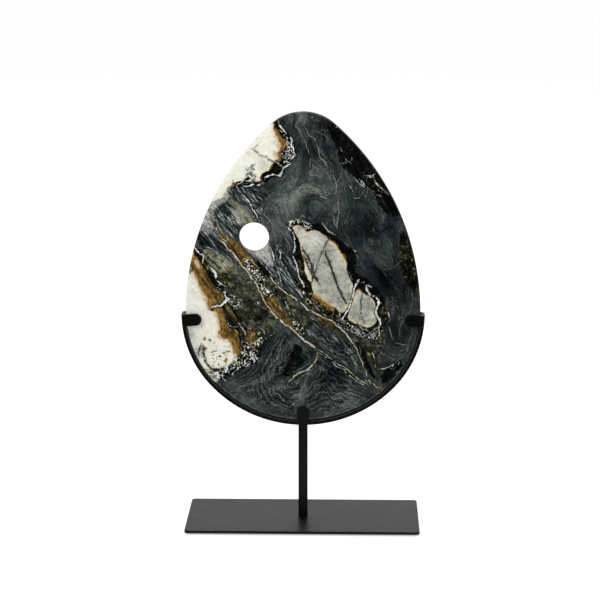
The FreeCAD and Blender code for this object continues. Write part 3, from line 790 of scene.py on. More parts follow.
GILT_ZONES = {
    "left of the lens foot": [
        (299, 258), (303, 268), (306, 279), (311, 290), (318, 300), (328, 307), (338, 313), (347, 320),
        (342, 324), (330, 320), (318, 314), (307, 304), (300, 291), (297, 275),
    ],
    "head of the band": [
        (234, 258), (246, 259), (256, 265), (264, 274), (269, 284), (266, 295), (259, 291), (252, 280),
        (242, 268),
    ],
    "right of the band": [
        (268, 283), (280, 289), (290, 300), (297, 314), (306, 328), (308, 338), (300, 333), (291, 320),
        (284, 306), (274, 295),
    ],
    "below the toe": [
        (340, 316), (352, 322), (368, 328), (380, 324), (386, 330), (384, 344), (372, 342), (356, 334),
        (346, 328),
    ],
    "beside the blob": [
        (240, 324), (250, 329), (262, 333), (264, 344), (254, 352), (246, 364), (236, 372), (225, 374),
        (232, 364), (238, 354), (244, 346), (241, 334),
    ],
    "beside the hook": [
        (198, 252), (206, 254), (214, 262), (224, 272), (232, 282), (228, 290), (220, 284), (210, 274),
        (202, 264),
    ],
    "right of the toe": [
        (376, 298), (384, 302), (388, 312), (387, 322), (381, 328), (378, 318), (377, 306),
    ],
    "lower right strip": [(364, 344), (374, 348), (382, 362), (383, 374), (377, 370), (370, 356)],
    "right edge": [
        (401.5, 238), (405, 238), (413, 246), (419, 264), (423, 287), (414, 286.5), (409.5, 282.5),
        (404.5, 276), (401.5, 264.5), (399.5, 251), (399.8, 241),
    ],
}
STREAKED_ZONES = {
    "left of the hole": [
        (212, 204), (224, 201), (232, 206), (238, 218), (238, 232), (244, 244), (236, 243), (228, 238),
        (220, 236), (226, 246), (234, 257), (240, 268), (232, 264), (222, 256), (212, 250), (202, 247),
        (194, 246), (199, 228),
    ],
    "right of the hole": [
        (274, 246), (284, 238), (290, 246), (293, 258), (298, 276), (304, 294), (312, 306), (300, 302),
        (288, 292), (276, 282), (262, 268), (256, 261), (266, 256),
    ],
    "above the hole": [
        (225, 191), (236, 187), (252, 188), (265, 191), (268, 197), (263, 204), (266, 216), (263, 222),
        (255, 218), (248, 208), (240, 202), (228, 200),
    ],
    "between the seams": [
        (276, 284), (290, 292), (304, 304), (318, 316), (334, 326), (346, 338), (356, 352), (362, 368),
        (350, 366), (336, 356), (322, 347), (310, 338), (300, 322), (288, 300),
    ],
}
SPOTTED_ZONES = {
    "foot of the lower left": [
        (206, 338), (218, 344), (230, 344), (238, 352), (238, 362), (228, 368), (214, 368), (206, 360),
        (202, 348),
    ],
}
BANDED_ZONES = {
    "lower left": [
        (240, 376), (250, 368), (262, 362), (266, 348), (276, 338), (288, 340), (300, 348), (312, 354),
        (316, 366), (306, 380), (302, 396), (298, 408), (282, 412), (262, 404), (244, 392), (232, 382),
    ],
    "between the seams": [
        (318, 328), (332, 332), (344, 340), (352, 352), (354, 366), (342, 360), (328, 350), (318, 342),
    ],
    "lower right": [
        (318, 352), (332, 362), (348, 372), (362, 384), (368, 396), (350, 406), (330, 412), (312, 412),
        (306, 396), (312, 378),
    ],
}
area_field("speckled", SPECKLED_ZONES)
area_field("gilt", GILT_ZONES)
area_field("streaked", STREAKED_ZONES)
area_field("spotted", SPOTTED_ZONES)
area_field("banded", BANDED_ZONES)
AGATE_CENTRES = {
    "black bay": BLACK_AREAS["black bay"],
    "lower left": PALE_AREAS["lower left"],
    "along the seam": [(322, 352), (340, 363), (362, 381), (367, 387), (346, 377), (325, 361)],
    "under the third seam": [(316, 366), (308, 374), (296, 380), (290, 386), (302, 384), (314, 376)],
}
area_field("agate", AGATE_CENTRES, reach=FAR_REACH)
# The slate's grain runs beside these lines
GRAIN_GUIDES = {
    "from the apex": [(299, 110), (301, 130), (300, 150), (296, 168), (290, 184)],
    "arc": [
        (292, 218), (292, 202), (299, 190), (312, 187.6), (326, 192), (334, 202), (337, 218), (335, 228),
    ],
    "apex right": [(312, 130), (319, 150), (330, 168), (337, 186)],
    "upper right": [(330, 118), (345, 146), (368, 176), (392, 205)],
    "right of the lens": [
        (330, 226), (346, 240), (360, 262), (372, 276), (388, 292), (394, 318), (398, 342),
    ],
    "right edge": [(396, 215), (404, 240), (412, 270), (414, 300)],
    "left margin": [(240, 190), (262, 190), (280, 180), (294, 164), (298, 150)],
    "left of the lens": [
        (270, 214), (280, 232), (288, 256), (296, 280), (312, 306), (336, 322), (352, 344),
    ],
    "seam": [(214, 236), (236, 260), (256, 286), (272, 312), (300, 336), (330, 356), (366, 382)],
    "bottom left": [(232, 384), (256, 380), (272, 368), (276, 348), (288, 338)],
    "bottom": [(250, 404), (272, 392), (290, 384), (312, 370), (320, 352)],
    "bottom right": [(316, 410), (330, 396), (350, 386), (370, 392)],
}


def line_field(name, lines, reach):
    """Store how far each mesh point is from the nearest of these lines."""
    step, near = empty_field(reach)
    for points in lines.values():
        line = smooth_line(points, closed=False)
        nearest_step(line, np.zeros(len(line)), step, near, reach)
    store(name, near)


line_field("grain", GRAIN_GUIDES, FAR_REACH)
print("zones", len(SPECKLED_ZONES), len(GILT_ZONES), len(STREAKED_ZONES), len(BANDED_ZONES))

# %% [markdown]
# ## Veins and cracks
#
# Each vein has its width in millimetres and a few points. Veins that cross are in different families,
# because a mesh point remembers only the nearest vein of each family.

# %% Veins
BOLD_WHITE_VEINS = {
    "top left outer": (1.3, [
        (274.2, 119.5), (276.4, 124.5), (279.2, 128.5), (283.4, 133), (287.2, 137), (290.3, 141),
        (289.8, 146), (291.8, 152), (294, 156)]),
    "top left knee": (1.5, [(271.5, 161.5), (277.5, 164.6), (282, 167), (286, 165), (289.8, 163.4)]),
    "top left heel": (1.9, [
        (263, 177.3), (268, 176), (273, 175.2), (278, 176.3), (280.2, 172.5), (281.6, 168)]),
    "top left sole": (1.5, [(236.4, 184.9), (240, 183.2), (243.5, 181.3), (246, 181.8)]),
    "top left sole, second": (1.4, [(242, 187.3), (248, 186.8), (253, 185.6), (258, 186), (262, 182.6)]),
    "down to the hole": (1.1, [
        (235, 187), (238, 192.6), (242, 197.3), (246.3, 201), (250.6, 207.6), (253.6, 212.4),
        (256.5, 216.8), (258.4, 222)]),
    "lens left": (1.3, [
        (286.8, 224.5), (288.2, 228.6), (291.6, 232.2), (293.6, 238), (294.3, 248), (293.6, 256.5),
        (296, 266.2), (298.8, 276.2), (302, 283), (304.2, 288.2), (303.4, 294.4), (306.5, 298.5)]),
    "lens split": (1.3, [
        (358.8, 278.8), (356.3, 283), (354.4, 287.4), (353, 294), (351.4, 300), (349.2, 306.6),
        (346.5, 311.8), (344, 317), (342.5, 322)]),
    "toe right": (2.1, [
        (366, 284), (367.4, 290.6), (371, 294.2), (376.8, 296.4), (379.8, 301), (377.2, 307.5),
        (377.3, 314), (380, 318), (382, 322), (379.6, 327)]),
    "toe right tail": (1.5, [(379.6, 327), (380.8, 331.5), (378.5, 335.5), (377, 339)]),
    "hook": (2.3, [(209.9, 268.9), (213.5, 271.8), (215.9, 275.2), (216, 280.2)]),
    "hook tail": (1.3, [(216, 280.2), (219.4, 283.8), (223.4, 285.8), (227.6, 288.2)]),
    "lower left bar": (1.7, [
        (210.2, 310), (213, 308.4), (217.4, 307.6), (221.5, 307), (224.4, 304), (228, 300.6), (231, 299)]),
    "lower left knot": (1.5, [
        (218.4, 288.8), (221.6, 291.2), (225.2, 293.8), (226.2, 298.4), (225, 302), (222.6, 305)]),
    "left edge": (1.8, [
        (193.8, 248), (196.8, 253), (200.4, 255.6), (203.2, 257.2), (202.6, 261.5), (201.6, 265)]),
    "left edge leg": (1.3, [(192.8, 268.2), (191.2, 271.5), (189.6, 275)]),
}
FINE_WHITE_VEINS = {
    "knot arm": (1.0, [(225.2, 293.8), (228.2, 291), (230, 288.6)]),
    "loops": (1.2, [
        (229.8, 302.9), (233, 306.6), (237, 307.4), (239.8, 303.6), (240.3, 298.8), (236.6, 296)]),
    "loops, inner": (0.9, [(231, 299), (234.5, 300.6), (238.4, 300.4)]),
    "wedge side": (1.0, [(228.3, 322), (230, 326), (234, 328), (238.2, 327.6)]),
    "wedge side, lower": (1.5, [
        (238, 323), (241.5, 327.6), (244, 331), (246, 335), (245, 339.5), (243.4, 343.5), (244.8, 348),
        (243.2, 352)]),
    "blob hook": (1.1, [(259.5, 325.5), (261.5, 328.4), (264, 331), (265.6, 336)]),
    "small triangle": (1.0, [(259.5, 300.5), (257.2, 303.5), (259.6, 306.6), (264.5, 310), (267, 310)]),
    "band inner": (1.1, [(276.6, 302.8), (279, 306.5), (281.4, 310), (284, 313.6)]),
    "band outer": (1.6, [(284.8, 299.8), (287.4, 305), (289.4, 310), (291.6, 315.4)]),
    "hole to the seam": (1.1, [
        (249.5, 251.2), (254.5, 256), (262.6, 264.4), (269, 272), (275.4, 279.7), (280, 285),
        (283.5, 288.5)]),
    "right of the hole": (1.2, [
        (267.8, 242), (270.6, 248.6), (273, 256.8), (275.6, 265), (278, 271.6), (280.8, 280.5),
        (284, 289)]),
    "right of the hole, second": (1.2, [
        (276.5, 244), (278.9, 251), (280.2, 257.5), (281.6, 262.4), (284, 267)]),
    "hole top right": (1.0, [(269, 219.6), (267.2, 224.6), (265, 229)]),
    "above the hole": (1.1, [(250.8, 215.4), (253.6, 218.5), (256, 222.4)]),
    "left of the hole": (1.1, [(224.5, 215), (229, 221.5), (233, 228), (237.4, 233), (240, 239)]),
    "left of the hole, second": (1.0, [(227, 211), (231.4, 218), (235.4, 224.8), (239.2, 229.6)]),
    "left edge fan": (1.1, [(201.6, 226), (205.4, 229.6), (209.4, 233.6), (212.8, 238.6)]),
    "left edge fan, second": (0.9, [(201, 230), (205, 232), (208.6, 236.4), (211, 240)]),
    "left edge fan, third": (0.9, [(199, 236), (204.5, 232.4), (208.6, 229.8)]),
    "stripe above the olive": (1.1, [
        (203, 248), (209, 249.6), (214.4, 253.4), (219.6, 258.4), (224.2, 261.4)]),
    "toe left": (1.3, [(336, 307.6), (338.6, 312), (341, 316), (341.4, 320.4)]),
    "toe loops": (1.2, [
        (346, 325), (351, 327.8), (355.6, 329.2), (360.6, 331.8), (362, 336), (366.5, 338)]),
    "toe loops, second": (1.1, [
        (357.4, 322.4), (360.6, 325.8), (364.4, 329.4), (369, 333.4), (373, 330.6), (377, 331.5)]),
    "toe loops, third": (1.0, [(349.6, 326.4), (354, 331.8), (359.6, 334), (364.6, 332)]),
    "toe loops, fourth": (1.1, [(371, 340), (374.6, 335.6), (377.4, 331.8)]),
    "margin top": (1.1, [(320.6, 220.8), (323.4, 225), (326.8, 229.4), (330.6, 231.8), (334.5, 234.6)]),
    "margin right": (0.8, [
        (343, 241.6), (348, 246), (353, 249), (356.4, 254), (358.4, 259.4), (356.8, 264.6)]),
    "margin sliver": (1.0, [(349.6, 272), (351, 275.6), (352.8, 279.6)]),
    "toe top": (2.4, [(360.8, 280.2), (364, 281.8), (367.6, 284.2), (371.6, 285.6)]),
    "toe far right": (1.0, [(386.4, 306), (388.6, 311), (389.8, 317)]),
    "lens side net": (1.0, [(296.6, 262), (294.2, 266), (295.6, 271.4), (299.6, 274)]),
    "lens foot net": (1.3, [
        (304.6, 292.6), (307, 297.4), (311.4, 303), (317.6, 307.6), (323.4, 312.6), (331, 317),
        (337.6, 319.4)]),
    "dash": (1.5, [(345.4, 183.6), (348.6, 186.6), (352.8, 190.4)]),
    "above the dash": (1.1, [(334, 178), (336.6, 174.6), (338.6, 170)]),
    "dash, second": (1.4, [(360.2, 192.6), (362.8, 193.8), (365.6, 196.4)]),
    "dash, third": (0.9, [(353, 196.6), (358, 198), (363, 196.6)]),
    "upper right bolt": (1.5, [(358.6, 178), (361.4, 181.4), (363.6, 184.2), (368.6, 187.6), (371, 189)]),
    "upper right wave": (1.9, [(363.4, 174.6), (366.4, 175), (369, 176.8), (371.4, 174.4), (373.4, 172.4)]),
    "upper right rim": (1.6, [(372.4, 178.8), (375.4, 182), (379, 186.4), (383, 188.6)]),
    "upper right tick": (1.1, [(337, 145), (338.6, 148.4), (340.8, 151)]),
    "upper right net": (0.9, [
        (352, 176), (355.4, 178.6), (357.6, 182), (361, 184.8), (365, 186), (369, 189.6)]),
    "upper right net, second": (0.8, [(373, 190), (375.6, 193.4), (379, 194.4), (381.4, 197.6)]),
    "upper right loop": (0.9, [(343.6, 158.8), (346.4, 160.8), (350, 159.4), (349.6, 156.4)]),
    "upper right dots": (0.9, [(339, 161.4), (342.6, 163.4), (346, 161.6), (350, 162)]),
    "lower right crescent": (1.3, [
        (381, 368.8), (386.4, 367.4), (391.4, 365), (395.4, 361.6), (399, 358.8)]),
    "lower right crescent, second": (0.8, [(394, 368.6), (398, 365), (401, 361)]),
    "lower right nick": (1.1, [(374, 350), (374.8, 355), (376.6, 360), (377, 366)]),
    "apex nick": (1.2, [(308.6, 117.4), (311.4, 115.6), (313.2, 113)]),
    "apex nick, second": (1.1, [(331, 129.4), (333.6, 127.4), (336.4, 126)]),
    "beside the first seam": (1.0, [
        (316, 349.6), (324.6, 355), (334.8, 362.6), (344.2, 368.8), (353.6, 375.8), (362, 382.2),
        (369, 385.8)]),
    "above the post": (1.0, [(293.4, 405.6), (297, 402.6), (300.4, 399)]),
    "lower left corner": (1.0, [(281, 392), (283.4, 398), (286.6, 403)]),
    "lower left tick": (1.2, [(224, 379.6), (227.6, 381.6), (231.6, 382.4)]),
}
GOLD_VEINS = {
    "first seam": (2.4, [
        (219, 240.6), (224.8, 246.4), (230.6, 252.4), (236.4, 258.8), (241.4, 265.6), (248.6, 274.2),
        (254.6, 282.5), (259.8, 291.8), (266, 303), (271.2, 311.2), (278, 318), (288, 325.6),
        (298.6, 334.6), (307.2, 341.6), (318.4, 348.4)]),
    "first seam, end": (1.2, [
        (318.4, 348.4), (326.2, 353.2), (336.5, 361), (346, 367), (355.4, 374), (364, 380.8),
        (370.5, 383.8)]),
    "third seam": (2.2, [
        (319, 350.8), (318.2, 357), (316.4, 362.2), (312.6, 367.6), (308.6, 370.6), (303.6, 371.4),
        (299, 374.4), (294.4, 378.6), (290.4, 382.4)]),
    "second seam": (2.0, [
        (270, 277), (275.4, 283.8), (281.2, 289.4), (287.4, 293.6), (296.1, 299.4), (303, 304.6),
        (310.7, 310.4), (319.3, 314.8), (327.9, 318.6), (334.8, 322), (341.7, 328.4), (348.5, 336),
        (355.4, 343.8)]),
    "second seam, end": (1.3, [
        (355.4, 343.8), (359.7, 351.4), (362.3, 358.4), (365.8, 367.8), (370, 378), (375.6, 383),
        (381.4, 389.4)]),
    "streak by the hole": (1.3, [(209, 212), (211.6, 219.6), (216, 230), (221.6, 238.6), (226.6, 245)]),
    "streak by the hole, second": (1.0, [(212.6, 218), (217.4, 226.6), (222.6, 233.8), (229, 239.6)]),
    "olive crack": (1.0, [(222.6, 274.4), (228, 271), (233, 268.6), (238.6, 266)]),
    "blob crack": (0.8, [(266.6, 339.4), (270, 337.6), (275.6, 333)]),
    "wedge crack": (0.9, [(243, 339.6), (248.4, 343.6), (256, 350), (262, 352)]),
}
CREAM_VEINS = {
    "right fork": (0.9, [
        (389, 309), (390.2, 317), (390.8, 325.2), (393.3, 335.2), (396, 341.6), (401, 342.2),
        (410.5, 343.6)]),
    "upper long vein": (1.3, [
        (302.4, 127.6), (306.4, 133.2), (312.2, 138.6), (315.4, 146.6), (318.6, 156.2), (325.5, 164.8),
        (332, 177.6), (335, 184.4), (335, 194.6), (337.3, 204.5), (337.5, 217), (335.2, 228)]),
    "upper left vein": (1.0, [(292.5, 124), (300.6, 136.4), (304.2, 146.6), (307.6, 156.4), (308, 167)]),
    "branch": (1.0, [(318.8, 156.6), (322, 160), (323.6, 165.6), (325, 169)]),
    "arch": (1.3, [
        (297, 197), (297.6, 191), (300.6, 187.4), (308, 186.4), (317, 188.6), (324, 191.4), (330, 194.2)]),
    "arch, second": (1.2, [
        (298, 198.6), (299.4, 193.8), (303, 190.4), (309, 189.8), (315.6, 191.2), (321, 192.8)]),
    "arch, third": (1.3, [(299.8, 199.8), (301.8, 195.6), (306, 193.2), (312, 193.2), (318, 195.2)]),
    "arch, third, end": (2.6, [(316, 194.4), (319.6, 195.6), (323, 196.6), (326.4, 197.6)]),
    "arch leg": (1.2, [
        (294.6, 189), (296, 194), (295.6, 199.4), (292.4, 204.6), (291.2, 210), (290.4, 216.6)]),
    "arch foot": (1.1, [(293.6, 209), (298.4, 213.4), (304.2, 216.4), (309.6, 219.4)]),
    "arch right side": (0.8, [(331, 200), (332.4, 208), (333, 217), (333.6, 226)]),
    "small white": (0.9, [(262.8, 376.6), (266, 380), (270.6, 385), (276, 391), (280, 396)]),
}
GREY_VEINS = {
    "to the margin": (1.2, [(335, 184), (337, 178), (339.6, 172.4), (341, 167.4)]),
    "fan from the apex": (2.6, [(299.4, 112), (297.6, 118), (294, 124), (293.6, 130)]),
    "fan from the apex, second": (2.0, [(304, 113), (302.4, 120), (301.4, 127)]),
    "apex right": (1.2, [(311.6, 131), (319, 133.2), (324.6, 137), (327, 140)]),
    "light streak": (1.9, [
        (311.6, 371), (308.8, 378), (305.8, 385.4), (302.8, 393), (300, 401), (297.6, 406)]),
    "bottom contour": (1.3, [
        (238, 389.6), (246.3, 386.4), (254.6, 382), (263, 378.2), (270.8, 371.6), (273.4, 363.4),
        (268.6, 356.6)]),
    "bottom contour, second": (1.1, [
        (251.4, 395), (254.8, 387.2), (262.9, 382.4), (269.6, 379.8), (275.4, 373.4), (276.8, 364)]),
    "bottom contour, third": (1.2, [(277.8, 358), (278.8, 350), (282.6, 343.2), (286.4, 337)]),
    "bottom contour, fourth": (1.0, [(284.6, 336.4), (289, 341.6), (293.8, 346), (292, 353), (287.4, 359)]),
    "bottom fan": (1.0, [(238.6, 392), (243.6, 398), (249, 404), (256, 409)]),
    "bottom fan, second": (1.0, [(242, 390.4), (248.6, 398.6), (257, 406), (266, 411)]),
    "bottom fan, third": (1.0, [(252, 397), (257, 403), (264, 408.6), (273, 412.6)]),
    "foot of the toe": (1.3, [(360.8, 345), (362.4, 352), (359.4, 358), (357.6, 364), (358.8, 371)]),
    "middle curl": (1.0, [(331, 327), (338, 333), (344.6, 340), (346.6, 348), (344, 354), (338.6, 353)]),
    "upper right ribbon": (3.0, [(371.6, 178.4), (376, 183), (381, 187.4), (386.6, 192.4)]),
    "right arc": (0.9, [(383, 268.4), (390, 267), (397, 264), (401, 258)]),
    "right dashes": (1.2, [(366, 249.6), (369.6, 251.4), (373.6, 250)]),
    "right low": (1.0, [(395, 286), (398, 287.6), (400.4, 289.4)]),
    "right upright": (0.9, [(411.8, 288), (412.4, 300), (410.4, 310), (405.4, 317), (403, 324)]),
    "right comb": (0.9, [(402.4, 320), (401, 328), (399.6, 336)]),
    "right comb, second": (0.8, [(412.6, 330), (410.6, 338), (409.6, 343)]),
}
CRACKS = {
    "top left": (1.2, [
        (250.5, 149), (253.8, 151.8), (258.6, 156), (262.6, 157.6), (266.2, 159.4), (271.4, 162)]),
    "top left start": (0.9, [(250.2, 149.6), (253.4, 147.8), (255, 146)]),
    "lens, long": (1.1, [
        (328.6, 238), (326.6, 242), (324.4, 246.9), (320.6, 254), (318.4, 261), (316.8, 267),
        (315, 273.5)]),
    "lens, broad": (2.1, [
        (324.6, 250.6), (325.8, 255), (327.6, 259), (329.6, 264.4), (331.5, 268.6), (333.4, 273.4),
        (335.4, 278), (338.2, 285.4), (341.4, 293.6), (344.6, 298.6), (347.6, 303)]),
    "lens, left": (1.9, [
        (301.8, 247.4), (304.6, 251.4), (307.4, 256), (310, 261.6), (311.6, 267.4), (313.6, 273.4),
        (317, 279), (319.6, 284)]),
    "lens, far left": (1.8, [
        (303, 256), (305.4, 261.2), (308.2, 267), (310.8, 273), (313, 279.4), (311.4, 284.6)]),
    "toe, left": (0.9, [(362.6, 291.6), (362, 298), (361.6, 305), (361, 312), (360, 319)]),
    "toe, right": (0.8, [(362.6, 312), (363.4, 318), (364.4, 324)]),
    "lower left": (1.7, [(202.6, 345.6), (201.6, 349.6), (200, 353), (200.8, 357.4)]),
    "lower left, long": (1.8, [
        (204.9, 347.6), (204.6, 354), (205.6, 360), (208, 365.4), (211.6, 368.6), (216, 370.4),
        (221, 371.6)]),
    "strip": (1.1, [(193, 267.6), (197.6, 274.6), (202, 281), (207, 287.4), (212.4, 292.6), (217, 296.6)]),
    "wedge": (2.8, [(224.6, 312.4), (228.4, 319.4), (231, 326), (233.4, 331), (232, 336)]),
    "wedge, second": (1.2, [
        (229, 312), (233.6, 320), (238.6, 325.6), (241.6, 331.4), (242.6, 338), (242.6, 346)]),
}
FINE_CRACKS = {
    "lens, across": (1.0, [(340.6, 248.2), (335, 249), (330, 249.6), (326.6, 251), (324, 248)]),
    "lens, under": (0.8, [(318.4, 265.6), (321.4, 263), (325.2, 261.6), (330, 260.2), (334, 258)]),
    "lens, specks": (2.0, [(307.6, 238), (309.2, 239.8)]),
    "lens, specks, second": (2.2, [(312.6, 244.6), (314.4, 247.6)]),
    "lens, top": (0.9, [(314.6, 240.4), (318.4, 243), (321.6, 246)]),
    "lens, neck": (1.0, [(298.6, 238.4), (303.4, 237.6), (306.6, 235)]),
    "top left blotch": (2.2, [(252.6, 164.6), (249.8, 167.6), (247.4, 170)]),
    "top left blotch, second": (1.6, [(248, 173), (250.4, 176), (252, 179)]),
    "top left blotch, third": (1.3, [(244.4, 176.6), (243, 179.6)]),
    "lower left speck": (1.9, [(225, 354.6), (226.6, 357)]),
    "lower left speck, second": (1.5, [(217.8, 337.4), (219.2, 338.4)]),
    "lower left speck, third": (1.2, [(194.6, 306.8), (196, 308.2)]),
    "by the prong": (1.4, [(201.6, 327.6), (203, 328.4)]),
}
AMBER_VEINS = {
    "top left edge": (1.6, [
        (271.6, 122), (272, 128), (274, 132.6), (276.6, 138.4), (279.6, 143), (279.4, 148),
        (276.6, 153.6)]),
    "top left knee": (1.5, [(276.8, 159.6), (272.4, 163.4), (269.4, 168), (267, 171.4)]),
    "top left heel": (1.2, [(259.4, 176), (259.2, 181.6), (255, 183.4)]),
    "top left toe": (1.5, [(231.4, 181), (232.2, 184.4), (235.6, 184)]),
    "lens right": (1.3, [
        (326.6, 236.8), (331.6, 240.4), (336.6, 244.4), (339.4, 249.6), (343.6, 255.4), (346.6, 262)]),
    "lens neck": (1.2, [(300, 225), (304.4, 229.4), (305.6, 232.6)]),
    "toe top": (1.5, [(357.4, 289), (359.4, 287.6), (362.4, 290)]),
    "toe foot": (1.2, [(353, 321.6), (358.6, 324.4), (364, 326.4)]),
    "left rim": (1.6, [(193.4, 254), (192.6, 259.6), (192.4, 266), (194, 272)]),
    "lower left speck": (2.6, [(219.6, 360), (221.4, 360.8)]),
    "lower left speck, second": (2.0, [(217.6, 352.4), (218.4, 353.2)]),
    "lower left speck, third": (2.2, [(234.6, 360), (236, 357.4)]),
    "lower left speck, fourth": (2.0, [(222.6, 369), (225.6, 367.4), (227, 366)]),
}
VEIN_FAMILIES = {
    "bold white": BOLD_WHITE_VEINS,
    "fine white": FINE_WHITE_VEINS,
    "gold": GOLD_VEINS,
    "cream": CREAM_VEINS,
    "grey": GREY_VEINS,
    "crack": CRACKS,
    "fine crack": FINE_CRACKS,
    "amber": AMBER_VEINS,
}
for family, veins in VEIN_FAMILIES.items():
    vein_field(family, veins)
print("veins", {family: len(veins) for family, veins in VEIN_FAMILIES.items()})

# %% [markdown]
# ## Lighter and darker ground
#
# The slate itself is lighter in some places and nearly black in others. A few soft round clouds, each
# with a place in pixels of the photograph, a radius in millimetres and a strength, are summed into
# one field.

# %% Clouds in the slate
SLATE_CLOUDS = {
    "apex": (298, 117, 8, 0.3),
    "left of the arches": (282, 202, 15, 0.5),
    "above the arches": (306, 180, 11, 0.25),
    "over the arches": (304, 194, 13, 0.12),
    "foot of the arches": (308, 213, 10, 0.15),
    "right of the top left": (284, 180, 14, 0.05),
    "left of the lens": (276, 236, 12, 0.3),
    "beside the first seam": (236, 280, 10, 0.4),
    "between the seams": (345, 342, 8, -0.7),
    "lower middle": (298, 396, 16, 0.25),
    "lower right": (351, 395, 12, 0.55),
    "under the first seam": (332, 374, 11, -0.4),
    "upper right": (322, 126, 10, -0.35),
    "right of the arches": (342, 202, 12, 0.12),
    "right side": (394, 286, 24, -0.32),
    "right low": (398, 328, 16, -0.3),
    "beside the lens margin": (383, 276, 10, -0.4),
    "left blob": (203, 242, 6, -0.7),
    "beside the margin": (300, 150, 9, -0.2),
    "above the wedge": (262, 345, 10, -0.35),
    "under the second seam": (300, 322, 9, 0.35),
    "foot of the bay": (308, 372, 8, 0.25),
    "beside the bay": (320, 364, 10, 0.25),
    "bottom": (328, 402, 12, 0.25),
    "right of the lens": (368, 226, 18, -0.3),
    "left of the lens margin": (290, 260, 9, -0.35),
    "streaks by the left edge": (219, 233, 9, 0.6),
    "olive lens": (244, 214, 8, 0.45),
    "middle": (330, 190, 16, 0.12),
}


def cloud_field(name, clouds):
    total = np.zeros(len(pattern_place))
    for across, down, radius, strength in clouds.values():
        middle = on_stone([(across, down)])[0]
        distance = np.hypot(*(pattern_place - middle).T)
        total += strength * np.exp(-(distance / radius) ** 2)
    store(name, total)


cloud_field("cloud", SLATE_CLOUDS)
# The lens is creamier here and greyer where the strength is negative. The two greyer clouds by the left
# prong and at the bottom of the left edge are painted shade, where the band and the prong shade the quartz.
CREAM_AND_SHADE_CLOUDS = {
    "neck": (302, 236, 8, 0.22),
    "left shoulder": (315, 241, 9, 0.3),
    "sliver": (307, 268, 6, 0.5),
    "right side": (338, 262, 8, 0.16),
    "lower left": (309, 284, 8, 0.3),
    "sugary middle": (337, 292, 14, -0.3),
    "toe": (367, 308, 10, -0.2),
    "painted shade under the left prong": (189, 336, 9, -0.32),
    "painted shade by the lower left edge": (199, 354, 8, -0.3),
    "foot of the top left": (262, 166, 8, -0.35),
    "blotch of the top left": (246, 171, 6, -0.3),
}
cloud_field("creaminess and painted shade", CREAM_AND_SHADE_CLOUDS)
print("clouds", len(SLATE_CLOUDS), len(CREAM_AND_SHADE_CLOUDS))

# Which pale area is nearest settles how white the quartz is
PALE_SHADES = {
    "top left": 1.0, "lower left": 0.84, "lens": 0.42, "lens toe": 0.3, "strip core": 1.0, "edge fleck": 1.0,
}


def shade_field(name, shades):
    nearest = np.full(len(pattern_place), np.inf)
    shade = np.zeros(len(pattern_place))
    for area, value in shades.items():
        outside = distance_outside(PALE_AREAS[area])
        closer = outside < nearest
        nearest[closer] = outside[closer]
        shade[closer] = value
    store(name, shade)


shade_field("whiteness", PALE_SHADES)
print("attributes", len(stone.data.attributes))

# %% [markdown]
# ## The stone shader
#
# The shader is painted like the stone grew: first the slate with its streaks and bands, then the
# olive, black and brown areas, then quartz and specks, and the veins last. Each layer is a mask and a
# colour. The mask is a field from the mesh, made ragged by noise, and turned to black and white by a
# smooth step: a few tenths of a millimetre for a sharp edge, some millimetres for a soft one.

# %% Helpers for shaders
def srgb(red, green, blue):
    """A colour as it is written for the screen, as the linear colour that a shader wants."""
    def linear(level):
        share = level / 255
        return share / 12.92 if share <= 0.04045 else ((share + 0.055) / 1.055) ** 2.4
    return (linear(red), linear(green), linear(blue), 1.0)


# Between these distances from a vein, in millimetres, its gap is pushed up, so it ends cleanly
VEIN_NEAR = 3.6
VEIN_FAR = 4.8
VEIN_PUSH = 9.0


